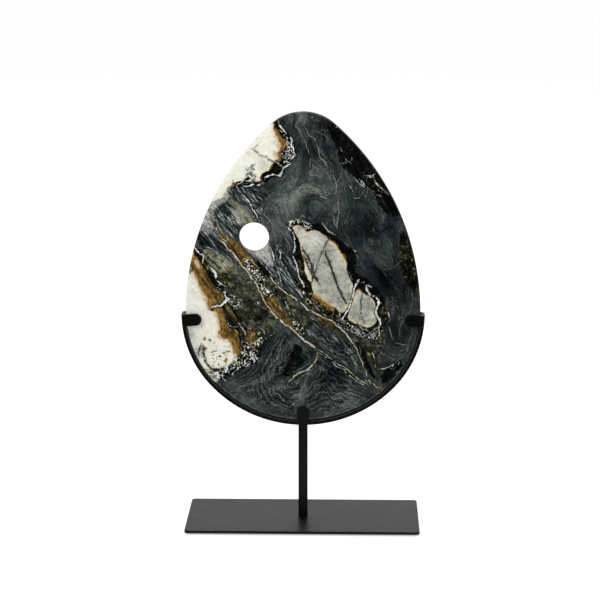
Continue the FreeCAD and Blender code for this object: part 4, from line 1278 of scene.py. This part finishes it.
class Paint:
    """A material's node tree, with the few moves that these materials need."""

    def __init__(self, material):
        material.use_nodes = True
        self.material = material
        self.tree = material.node_tree
        self.shader = next(node for node in self.tree.nodes if node.type == "BSDF_PRINCIPLED")
        place = add_node(self.tree, "ShaderNodeTexCoord").outputs["Object"]
        scaled = add_node(self.tree, "ShaderNodeMapping", place)
        scaled.inputs["Scale"].default_value = (1 / MILLIMETRE,) * 3
        self.millimetres = scaled.outputs[0]

    def set(self, name, value):
        """Put a number, a colour, a socket or a Flow into an input of the shader."""
        plug(self.tree, value, self.shader.inputs[name])

    def stretched(self, scale, turn=(0, 0, 0)):
        """The place in millimetres, turned and then stretched."""
        turned = add_node(self.tree, "ShaderNodeMapping", self.millimetres, None, turn)
        stretched = add_node(self.tree, "ShaderNodeMapping", turned.outputs[0])
        stretched.inputs["Scale"].default_value = scale
        return stretched.outputs[0]

    def noise(self, size, detail=2.0, roughness=0.5, distortion=0.0, seed=0.0, at=None):
        """Noise from 0 to 1 whose lumps are about size millimetres across."""
        if at is None:
            at = self.millimetres
        if seed:
            at = self.sum(at, (seed, -seed, seed))
        node = add_node(self.tree, "ShaderNodeTexNoise", at)
        node.inputs["Scale"].default_value = 1.0 / size
        node.inputs["Detail"].default_value = detail
        node.inputs["Roughness"].default_value = roughness
        node.inputs["Distortion"].default_value = distortion
        return Flow(self.tree, node.outputs[0])

    def field(self, name):
        node = add_node(self.tree, "ShaderNodeAttribute", attribute_name=name)
        return Flow(self.tree, node.outputs["Fac"])

    def step(self, value, low, high):
        """From 0 at low to 1 at high, smoothly; low may be the larger."""
        node = add_node(self.tree, "ShaderNodeMapRange", value, low, high, interpolation_type="SMOOTHSTEP")
        return Flow(self.tree, node.outputs[0])

    def mix(self, mask, under, over):
        node = add_node(self.tree, "ShaderNodeMix", data_type="RGBA")
        for index, value in zip((0, 6, 7), (mask, under, over)):
            plug(self.tree, value, node.inputs[index])
        return node.outputs[2]

    def ramp(self, value, *stops):
        node = add_node(self.tree, "ShaderNodeValToRGB", value)
        elements = node.color_ramp.elements
        while len(elements) < len(stops):
            elements.new(0.5)
        for element, (position, colour) in zip(elements, stops):
            element.position = position
            element.color = colour
        return node.outputs[0]

    def shift(self, size, amount, detail=2.0, seed=0.0):
        """A vector that wanders up to about a third of amount to every side."""
        wander = self.noise(size, detail, seed=seed).socket.node.outputs["Color"]
        centred = add_node(self.tree, "ShaderNodeVectorMath", wander, (0.5, 0.5, 0.5), operation="SUBTRACT")
        return add_node(
            self.tree, "ShaderNodeVectorMath", centred.outputs[0], (amount,) * 3, operation="MULTIPLY"
        ).outputs[0]

    def sum(self, first, second):
        return add_node(self.tree, "ShaderNodeVectorMath", first, second, operation="ADD").outputs[0]

    def vein_gap(self, name, sway, swell):
        """How far it is to the side of the nearest vein of a family; negative inside the vein.

        Sway moves the vein sideways, and swell makes it wider or narrower."""
        step = add_node(self.tree, "ShaderNodeAttribute", attribute_name=name).outputs["Vector"]
        half_width = Flow(self.tree, add_node(self.tree, "ShaderNodeSeparateXYZ", step).outputs["Z"])
        parts = add_node(self.tree, "ShaderNodeSeparateXYZ", self.sum(step, sway))
        east = Flow(self.tree, parts.outputs["X"])
        up = Flow(self.tree, parts.outputs["Y"])
        far = self.step(self.field(name + " near"), VEIN_NEAR, VEIN_FAR) * VEIN_PUSH
        return (east * east + up * up).math("SQRT") - half_width * swell + far

    def bump(self, height, strength, distance):
        """Let a noise raise and lower the surface; the distance is in metres."""
        node = add_node(self.tree, "ShaderNodeBump")
        for name, value in (("Strength", strength), ("Distance", distance), ("Height", height)):
            plug(self.tree, value, node.inputs[name])
        self.set("Normal", node.outputs[0])


print("shader helpers ready")

# %% The slate
paint = Paint(stone_paint)
tiny = paint.noise(1.6, 3.0, 0.6)
small = paint.noise(4.0, 3.0, 0.6, 0.4, seed=31.0)
medium = paint.noise(11.0, 4.0, 0.6, 0.6, seed=7.0)
large = paint.noise(42.0, 4.0, 0.6, 0.6, seed=3.0)
ragged_fine = (tiny - 0.5) * 2.0
ragged_small = (small - 0.5) * 2.0
ragged = (medium - 0.5) * 2.0

# Across the grain the place counts in full, along it only a small share
ALONG_SHARE = 0.09
stone_east, stone_depth, stone_up = (
    Flow(paint.tree, socket)
    for socket in add_node(paint.tree, "ShaderNodeSeparateXYZ", paint.millimetres).outputs
)
across = paint.field("grain") + ragged * 3.5 + (large - 0.5) * 26.0
grain_place = add_node(
    paint.tree, "ShaderNodeCombineXYZ", across, stone_east * ALONG_SHARE, stone_up * ALONG_SHARE
).outputs[0]
grain = paint.noise(1.7, 4.0, 0.65, at=grain_place)
broad_grain = paint.noise(6.5, 4.0, 0.6, seed=17.0, at=grain_place)

cloud = paint.field("cloud")
ground = large * 0.22 + medium * 0.14 + broad_grain * 0.22 + grain * 0.26 + tiny * 0.16 + cloud * 0.22
colour = paint.ramp(
    ground,
    (0.37, srgb(5, 8, 9)), (0.445, srgb(23, 29, 30)), (0.50, srgb(43, 49, 49)),
    (0.55, srgb(67, 74, 73)), (0.62, srgb(108, 114, 110)), (0.72, srgb(156, 156, 146)),
)


def thin_lines(source, width):
    """Lines where a noise crosses its middle."""
    return paint.step((source - 0.5).math("ABSOLUTE"), width, 0.0)


wisps = thin_lines(broad_grain, 0.010) * paint.step(paint.noise(18.0, 2.0, seed=19.0), 0.46, 0.60)
colour = paint.mix(wisps * 0.6, colour, srgb(140, 140, 128))
dark_wisps = thin_lines(paint.noise(5.0, 4.0, 0.62, seed=44.0, at=grain_place), 0.014)
colour = paint.mix(dark_wisps * 0.6, colour, srgb(8, 10, 11))
print("slate:", len(paint.tree.nodes), "nodes so far")

# %% Streaks and agate bands
STREAK_DIP = math.radians(50.0)
streak_place = paint.stretched((0.12, 1.0, 1.0), turn=(0.0, -STREAK_DIP, 0.0))
streak = paint.noise(1.6, 4.0, 0.7, 0.6, at=streak_place)
broad_streak = paint.noise(6.0, 3.0, 0.6, 0.6, seed=5.0, at=streak_place)
streak_colour = paint.ramp(
    streak * 0.50 + broad_streak * 0.25 + grain * 0.25 + cloud * 0.05,
    (0.42, srgb(3, 5, 7)), (0.475, srgb(22, 27, 29)), (0.525, srgb(56, 62, 63)),
    (0.56, srgb(116, 120, 118)), (0.61, srgb(216, 217, 210)),
)
in_streaks = paint.step(paint.field("streaked") + ragged * 3.0, 2.0, -3.0)
colour = paint.mix(in_streaks * 0.82, colour, streak_colour)

folds = paint.noise(30.0, 3.0, 0.5, 0.6, seed=41.0)
contour = paint.field("agate") * 0.20 + folds * 5.5 + medium * 1.7 + small * 0.5
wave = (contour.math("FRACT") - 0.5).math("ABSOLUTE") * 2.0
fine_wave = ((contour * 2.7 + grain * 0.6).math("FRACT") - 0.5).math("ABSOLUTE") * 2.0
band_colour = paint.ramp(
    wave * 0.28 + fine_wave * 0.34 + broad_grain * 0.5 + medium * 0.5 + tiny * 0.3 - 0.47 + cloud * 0.2,
    (0.28, srgb(3, 4, 5)), (0.43, srgb(21, 26, 27)), (0.56, srgb(46, 52, 53)), (0.69, srgb(78, 84, 84)),
    (0.86, srgb(134, 137, 133)),
)
dark_lines = paint.step(fine_wave, 0.20, 0.05) * paint.step(tiny, 0.40, 0.54)
band_colour = paint.mix(dark_lines * 0.85, band_colour, srgb(5, 7, 8))
in_bands = paint.step(paint.field("banded") + ragged * 4.0, 3.0, -6.0)
colour = paint.mix(in_bands * 0.85, colour, band_colour)
print("streaks and bands:", len(paint.tree.nodes), "nodes so far")

# %% Black, olive and brown areas
fibre = thin_lines(paint.noise(9.0, 5.0, 0.7, 1.6, seed=15.0), 0.035)
patch_noise = paint.noise(4.6, 4.0, 0.68, 1.0, seed=58.0)
dark_grain = paint.ramp(
    patch_noise * 0.5 + medium * 0.35 + tiny * 0.15,
    (0.39, srgb(3, 4, 3)), (0.45, srgb(24, 26, 20)), (0.52, srgb(57, 60, 46)), (0.60, srgb(110, 111, 88)),
)
dark_grain = paint.mix(fibre * paint.step(medium, 0.46, 0.58) * 0.7, dark_grain, srgb(136, 134, 106))
in_dark_olive = paint.step(paint.field("dark olive") + ragged * 8.0 + ragged_small * 3.0, 2.0, -2.0)
colour = paint.mix(in_dark_olive * 0.9, colour, dark_grain)

in_black = paint.step(paint.field("black") + ragged * 3.0 + ragged_small * 2.2, 0.9, -0.9)
black_grain = paint.ramp(
    grain * 0.4 + small * 0.3 + tiny * 0.3,
    (0.44, srgb(2, 3, 2)), (0.54, srgb(12, 13, 11)), (0.61, srgb(40, 42, 36)), (0.68, srgb(112, 112, 98)),
)
colour = paint.mix(in_black * 0.97, colour, black_grain)

in_light_olive = paint.step(paint.field("light olive") + ragged * 3.0 + ragged_small * 2.0, 1.5, -2.5)
light_grain = paint.ramp(
    streak * 0.6 + small * 0.4 + cloud * 0.1,
    (0.40, srgb(38, 41, 35)), (0.47, srgb(98, 100, 85)), (0.54, srgb(140, 141, 118)),
    (0.62, srgb(186, 187, 168)),
)
olive_rim = paint.step(paint.field("light olive") + ragged_small * 1.6, -4.2, -1.2)
light_grain = paint.mix(olive_rim * paint.step(medium, 0.40, 0.56) * 0.55, light_grain, srgb(148, 146, 92))
colour = paint.mix(in_light_olive * 0.85, colour, light_grain)

# Up the stone, in millimetres: the smear is yellow below the first level
YELLOW_BELOW = on_stone([(214, 364)])[0][1]
YELLOW_FADE = 6.0
in_smear = paint.step(paint.field("smear") + ragged * 2.0 + ragged_small * 1.2, 1.6, -2.2)
smear_grain = paint.ramp(
    streak * 0.6 + tiny * 0.4,
    (0.36, srgb(96, 99, 97)), (0.50, srgb(168, 170, 165)), (0.62, srgb(230, 230, 220)),
)
smear_strength = paint.step(streak * 0.6 + small * 0.4, 0.36, 0.54) * 0.5 + 0.42
colour = paint.mix(in_smear * smear_strength, colour, smear_grain)
low_smear = paint.step(stone_up, YELLOW_BELOW + YELLOW_FADE, YELLOW_BELOW) * in_smear
colour = paint.mix(low_smear * 0.6, colour, srgb(204, 200, 160))

beside_quartz = paint.step(paint.field("pale") + ragged * 3.0, 9.0, 1.0)
in_brown = paint.step(
    paint.field("brown") + ragged * 1.8 + ragged_small * 1.2 - beside_quartz * 1.8, 0.7, -0.8
)
brown_grain = paint.ramp(
    grain * 0.5 + small * 0.25 + tiny * 0.25,
    (0.40, srgb(8, 6, 3)), (0.45, srgb(56, 43, 18)), (0.50, srgb(104, 83, 39)),
    (0.55, srgb(132, 106, 56)), (0.60, srgb(190, 174, 138)), (0.66, srgb(222, 216, 198)),
)
brown_shade = paint.step(medium * 0.5 + broad_streak * 0.5, 0.54, 0.42)
brown_grain = paint.mix(brown_shade * 0.75, brown_grain, srgb(34, 25, 12))
brown_light = paint.step(paint.noise(9.0, 3.0, 0.6, seed=88.0), 0.52, 0.66)
brown_grain = paint.mix(brown_light * 0.4, brown_grain, srgb(144, 107, 48))
strands = paint.step(grain, 0.51, 0.44) * paint.step(paint.field("streaked") + ragged * 3.0, 4.0, -2.0)
brown_grain = paint.mix(strands, brown_grain, srgb(20, 18, 13))
brown_grain = paint.mix(beside_quartz * 0.6, brown_grain, paint.ramp(
    small, (0.42, srgb(112, 79, 29)), (0.60, srgb(170, 127, 60)),
))
colour = paint.mix(in_brown * 0.97, colour, brown_grain)
print("areas:", len(paint.tree.nodes), "nodes so far")

# %% Quartz
beside_brown = paint.step(paint.field("brown") + ragged * 4.0 + ragged_small * 2.0, 5.0, 0.0)
pale_gap = (
    paint.field("pale") + ragged * 1.6 + ragged_small * (beside_brown * 1.8 + 1.3)
    + ragged_fine * (beside_brown * 1.6 + 0.5)
)
in_pale = paint.step(pale_gap, 0.35, -0.35)
pale_edge = paint.step(pale_gap, 2.0, 0.2) * paint.step(small, 0.40, 0.50) * (1.0 - beside_brown)
pale_edge = pale_edge * (1.0 - in_smear * 0.85)
colour = paint.mix(pale_edge * 0.8, colour, srgb(8, 7, 4))
# The cream field added here also holds painted shade: the quartz is greyed by the left prong and at the
# bottom of the left edge, where the band shades it.
whiteness = paint.field("whiteness") + paint.field("creaminess and painted shade")
quartz_clouds = medium * 0.32 + small * 0.28 + tiny * 0.4
warm_white = paint.ramp(
    quartz_clouds, (0.34, srgb(196, 192, 172)), (0.45, srgb(232, 231, 214)), (0.58, srgb(245, 246, 236)),
)
grey_white = paint.ramp(
    quartz_clouds, (0.36, srgb(88, 89, 82)), (0.45, srgb(142, 144, 134)), (0.53, srgb(168, 170, 158)),
    (0.64, srgb(198, 198, 186)),
)
quartz = paint.mix(paint.step(whiteness, 0.35, 1.0), grey_white, warm_white)
cream_rim = paint.step(pale_gap, -6.0, -0.5) * paint.step(medium, 0.42, 0.58)
quartz = paint.mix(cream_rim * 0.6, quartz, srgb(216, 205, 168))
quartz = paint.mix(beside_brown * 0.6, quartz, paint.ramp(
    small, (0.42, srgb(150, 106, 48)), (0.60, srgb(212, 182, 124)),
))
spots = paint.step(paint.noise(4.4, 2.0, 0.5, 0.4, seed=73.0), 0.555, 0.60)
spots = spots * paint.step(paint.field("spotted") + ragged * 2.0, 1.0, -2.0)
spot_colour = paint.ramp(tiny, (0.44, srgb(52, 42, 14)), (0.56, srgb(150, 116, 40)))
quartz = paint.mix(spots * 0.9, quartz, spot_colour)
rust_rim = paint.step(pale_gap, -1.4, 0.0) * paint.step(small, 0.44, 0.58)
quartz = paint.mix(rust_rim * 0.6, quartz, srgb(112, 80, 34))
colour = paint.mix(in_pale, colour, quartz)
print("quartz:", len(paint.tree.nodes), "nodes so far")

# %% Specks
speck_noise = paint.noise(3.2, 3.5, 0.66, 1.2, seed=91.0)
in_gilt = paint.step(paint.field("gilt") + ragged * 3.2 + ragged_small * 2.0, 1.2, -1.2)
in_gilt = in_gilt * (1.0 - in_pale) * (1.0 - in_brown * 0.85)
gilt = paint.ramp(
    patch_noise,
    (0.43, srgb(4, 4, 2)), (0.49, srgb(24, 23, 13)), (0.555, srgb(66, 64, 36)), (0.61, srgb(122, 116, 72)),
    (0.68, srgb(204, 200, 176)),
)
# The gilt is fainter by the right edge, which starts this far east, in millimetres
EDGE_FROM = on_stone([(394, 262)])[0][0]
EDGE_FADE = 5.0
gilt_strength = 0.9 - paint.step(stone_east, EDGE_FROM, EDGE_FROM + EDGE_FADE) * 0.45
colour = paint.mix(in_gilt * paint.step(medium, 0.42, 0.52) * gilt_strength, colour, gilt)
in_specks = paint.step(paint.field("speckled") + ragged * 2.6 + ragged_small * 1.8, 0.9, -0.9)
colour = paint.mix(in_specks * paint.step(speck_noise, 0.56, 0.47) * 0.85, colour, srgb(6, 7, 5))
specks = paint.step(speck_noise, 0.535, 0.585)
colour = paint.mix(in_specks * specks, colour, srgb(222, 223, 214))
print("specks:", len(paint.tree.nodes), "nodes so far")

# %% Veins and cracks
slow_sway = paint.shift(9.0, 4.5, 3.0)
sway = paint.sum(slow_sway, paint.shift(2.6, 2.4, 2.0, seed=9.0))
swell = ((paint.noise(5.0, 3.0, 0.6, seed=61.0) - 0.5) * 4.5 + 0.85).math("MAXIMUM", 0.0)
broken = paint.step(paint.noise(8.0, 2.0, seed=66.0), 0.32, 0.44)
tint = paint.step(paint.noise(13.0, 3.0, 0.6, seed=29.0), 0.40, 0.60)
steady = swell * 0.35 + 0.65
# Family, share of the drawn width, how even, softness, strength, halo, its width, two colours
VEIN_PAINTS = (
    ("grey", 0.70, steady, 0.8, 0.55, 0.0, 0.0, srgb(122, 128, 124), srgb(116, 120, 112)),
    ("cream", 0.75, steady, 0.5, 0.70, 0.3, 1.6, srgb(158, 161, 155), srgb(146, 146, 137)),
    ("amber", 1.15, swell, 0.6, 0.85, 0.0, 0.0, srgb(130, 88, 30), srgb(96, 64, 22)),
    ("gold", 0.68, steady, 0.4, 0.92, 0.7, 1.8, srgb(212, 209, 194), srgb(180, 168, 134)),
    ("crack", 1.15, steady, 0.4, 0.95, 0.35, 1.8, srgb(22, 22, 18), srgb(44, 43, 36)),
    ("fine crack", 0.9, swell, 0.5, 0.75, 0.2, 1.5, srgb(48, 48, 41), srgb(66, 62, 50)),
    ("fine white", 0.85, swell, 0.4, 0.92, 0.7, 1.8, srgb(208, 210, 204), srgb(160, 163, 158)),
    ("bold white", 0.95, swell * 0.65 + 0.35, 0.4, 1.00, 0.8, 1.8, srgb(234, 236, 230), srgb(190, 192, 184)),
)
for family, slim, evenness, softness, strength, halo, reach, first_colour, second_colour in VEIN_PAINTS:
    gap = paint.vein_gap(family, slow_sway if family in ("grey", "cream") else sway, evenness * slim)
    if halo:
        colour = paint.mix(paint.step(gap, reach, 0.2) * halo, colour, srgb(7, 8, 6))
    mask = paint.step(gap, softness, -softness) * strength
    if family == "fine white":
        mask = mask * broken
    colour = paint.mix(mask, colour, paint.mix(tint, first_colour, second_colour))

# The flat faces are polished, the rounded edge and the hole's wall are honed. Both are told apart by
# their distance from the middle of the slab's thickness, in millimetres
FACE_DISTANCE = 6.3
EDGE_DISTANCE = 5.6
FACE_GLOSS = 0.45
HONED_GLOSS = 0.09
honed = paint.step(stone_depth.math("ABSOLUTE"), FACE_DISTANCE, EDGE_DISTANCE)
paint.set("Base Color", colour)
paint.set("Roughness", paint.step(tiny, 0.3, 0.7) * 0.05 + 0.06 + honed * 0.38)
# The export leaves out what is linked here, so the socket itself holds the level of the faces
paint.set("Specular IOR Level", FACE_GLOSS)
paint.set("Specular IOR Level", honed * (HONED_GLOSS - FACE_GLOSS) + FACE_GLOSS)
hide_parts("egg_slab")
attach(stone, "egg")
print("stone shader:", len(paint.tree.nodes), "nodes")

# %% [markdown]
# ## The black steel
#
# Bar and sheet with a satin black powder coat. Powder melts into a skin with the faintest orange
# peel, which only shows in how sharp the reflections are, so the colour stays even and the roughness
# and a very low bump carry the noise.

# %% Powder-coated steel
def new_paint(name):
    return Paint(bpy.data.materials.new(name))


def grey(level):
    return srgb(level, level, level)


def make_steel():
    coat = new_paint("satin black powder coat")
    peel = coat.noise(0.9, 2.0, 0.5)
    patch = coat.noise(26.0, 3.0, 0.55, seed=9.0)
    drag = coat.noise(3.0, 2.0, 0.5, seed=4.0, at=coat.stretched((0.05, 1.0, 1.0)))
    shade = patch * 0.5 + drag * 0.5
    coat.set("Base Color", coat.ramp(shade, (0.35, srgb(4, 4, 3)), (0.65, srgb(15, 15, 11))))
    coat.set("Roughness", 0.30 + patch * 0.08 + drag * 0.12)
    coat.set("Specular IOR Level", 0.16)
    coat.bump(peel, 0.12, 0.05 * MILLIMETRE)
    return coat.material


def make_rubber(name, level, size):
    skin = new_paint(name)
    grain = skin.noise(size, 3.0, 0.6)
    skin.set("Base Color", skin.ramp(grain, (0.3, grey(level)), (0.7, grey(level + 10))))
    skin.set("Roughness", 0.7 + grain * 0.2)
    skin.bump(grain, 0.3, 0.1 * MILLIMETRE)
    return skin.material


def make_screw_steel():
    metal = new_paint("turned screw steel")
    rings = metal.noise(0.25, 2.0, 0.5, at=metal.stretched((0.3, 0.3, 3.0)))
    metal.set("Base Color", metal.ramp(rings, (0.3, srgb(120, 120, 122)), (0.7, srgb(165, 165, 168))))
    metal.set("Roughness", 0.28 + rings * 0.15)
    metal.set("Metallic", 1.0)
    return metal.material


FINISHES = {
    "black_steel": make_steel(),
    "soft_pad": make_rubber("soft pad", 30, 0.6),
    "foot_rubber": make_rubber("foot rubber", 24, 0.4),
    "screw_steel": make_screw_steel(),
}
for part in frame["record"]["subparts"]:
    finish = FINISHES.get(part["material_slot"])
    if finish is None:
        continue
    node = frame["nodes"][part["node"]]
    node.data.materials.clear()
    node.data.materials.append(finish)
print("finishes", sorted(FINISHES))

# %% [markdown]
# ## Floor and light
#
# The photograph has a pure white ground. A floor that is lit until it is white would flood the object
# with light, so the floor stays a plain pale surface that takes the shadow, and adds a little light
# of its own only for the camera and for reflections.

# %% Floor and world
FLOOR_SIDE = 40.0
FLOOR_GREY = 0.86
FLOOR_GLOW = 0.45
WORLD_LIGHT = 0.62
WHITE = (1.0, 1.0, 1.0, 1.0)


def stage_mesh(name, corners, faces, level):
    """Put in a plain dull thing of one even grey, and return it with its shader node."""
    mesh = bpy.data.meshes.new(name)
    mesh.from_pydata(corners, [], faces)
    thing = put(name, mesh)
    material = bpy.data.materials.new(name)
    material.use_nodes = True
    shader = material.node_tree.nodes["Principled BSDF"]
    shader.inputs["Base Color"].default_value = (level, level, level, 1.0)
    shader.inputs["Roughness"].default_value = 1.0
    shader.inputs["Specular IOR Level"].default_value = 0.0
    mesh.materials.append(material)
    return thing, shader


def seen_by_eye(tree):
    """1 for the rays that show the background: camera, reflection and glass."""
    path = add_node(tree, "ShaderNodeLightPath")
    seen = Flow(tree, path.outputs["Is Camera Ray"])
    seen = seen.math("MAXIMUM", Flow(tree, path.outputs["Is Glossy Ray"]))
    return seen.math("MAXIMUM", Flow(tree, path.outputs["Is Transmission Ray"]))


half_floor = FLOOR_SIDE / 2
floor_corners = [(x * half_floor, y * half_floor, 0) for x, y in ((-1, -1), (1, -1), (1, 1), (-1, 1))]
floor_shader = stage_mesh("floor", floor_corners, [(0, 1, 2, 3)], FLOOR_GREY)[1]
floor_tree = floor_shader.id_data
floor_shader.inputs["Emission Color"].default_value = WHITE
plug(floor_tree, seen_by_eye(floor_tree) * FLOOR_GLOW, floor_shader.inputs["Emission Strength"])

world = bpy.data.worlds.new("studio")
world.use_nodes = True
bpy.context.scene.world = world
backdrop = next(node for node in world.node_tree.nodes if node.type == "BACKGROUND")
backdrop.inputs["Color"].default_value = WHITE
world_strength = seen_by_eye(world.node_tree) * (1.0 - WORLD_LIGHT) + WORLD_LIGHT
plug(world.node_tree, world_strength, backdrop.inputs["Strength"])
print("floor", FLOOR_SIDE, "m, world light", WORLD_LIGHT)

# %% [markdown]
# Black cards keep the pale studio out of the polished face. One lies on the table from just below
# the picture, the others stand in front and at both sides with a lid on top, and they only show in
# reflections. Three soft boxes give the light.

# %% Cards and lamps
CARD_NEAR = -0.27
CARD_FAR = -1.1
CARD_BACK = 0.35
CARD_HALF_WIDTH = 1.3
CARD_TOP = 1.1
CARD_LIFT = 0.002
CARD_GREY = 0.004
ROOF_BACK = -0.1
card_sides = (-CARD_HALF_WIDTH, CARD_HALF_WIDTH)
card_plan = (
    (-CARD_HALF_WIDTH, CARD_BACK), (-CARD_HALF_WIDTH, CARD_FAR),
    (CARD_HALF_WIDTH, CARD_FAR), (CARD_HALF_WIDTH, CARD_BACK),
)
card_corners = [(x, y, z) for z in (CARD_LIFT, CARD_TOP) for x, y in card_plan]
card_corners += [(x, CARD_NEAR, CARD_LIFT) for x in card_sides]
card_corners += [(x, ROOF_BACK, CARD_TOP) for x in card_sides]
card_faces = [(0, 1, 5, 4), (1, 2, 6, 5), (2, 3, 7, 6), (1, 2, 9, 8), (5, 6, 11, 10)]
card = stage_mesh("black card", card_corners, card_faces, CARD_GREY)[0]
card.visible_camera = False
card.visible_diffuse = False
card.visible_shadow = False

LAMP_AIM = Vector((0, 0, 0.2))
# Place and side in metres, and watts
SOFT_BOXES = {
    "key softbox": ((-1.3, -1.9, 1.7), 1.1, 22.0),
    "fill softbox": ((1.7, -1.6, 0.9), 1.2, 10.0),
    "top softbox": ((0.1, 0.5, 2.0), 1.0, 10.0),
}
for name, (place, side, watts) in SOFT_BOXES.items():
    lamp_data = bpy.data.lights.new(name, "AREA")
    lamp_data.shape = "SQUARE"
    lamp_data.size = side
    lamp_data.energy = watts
    look(put(name, lamp_data), place, LAMP_AIM - Vector(place))
print("lamps", len(SOFT_BOXES))
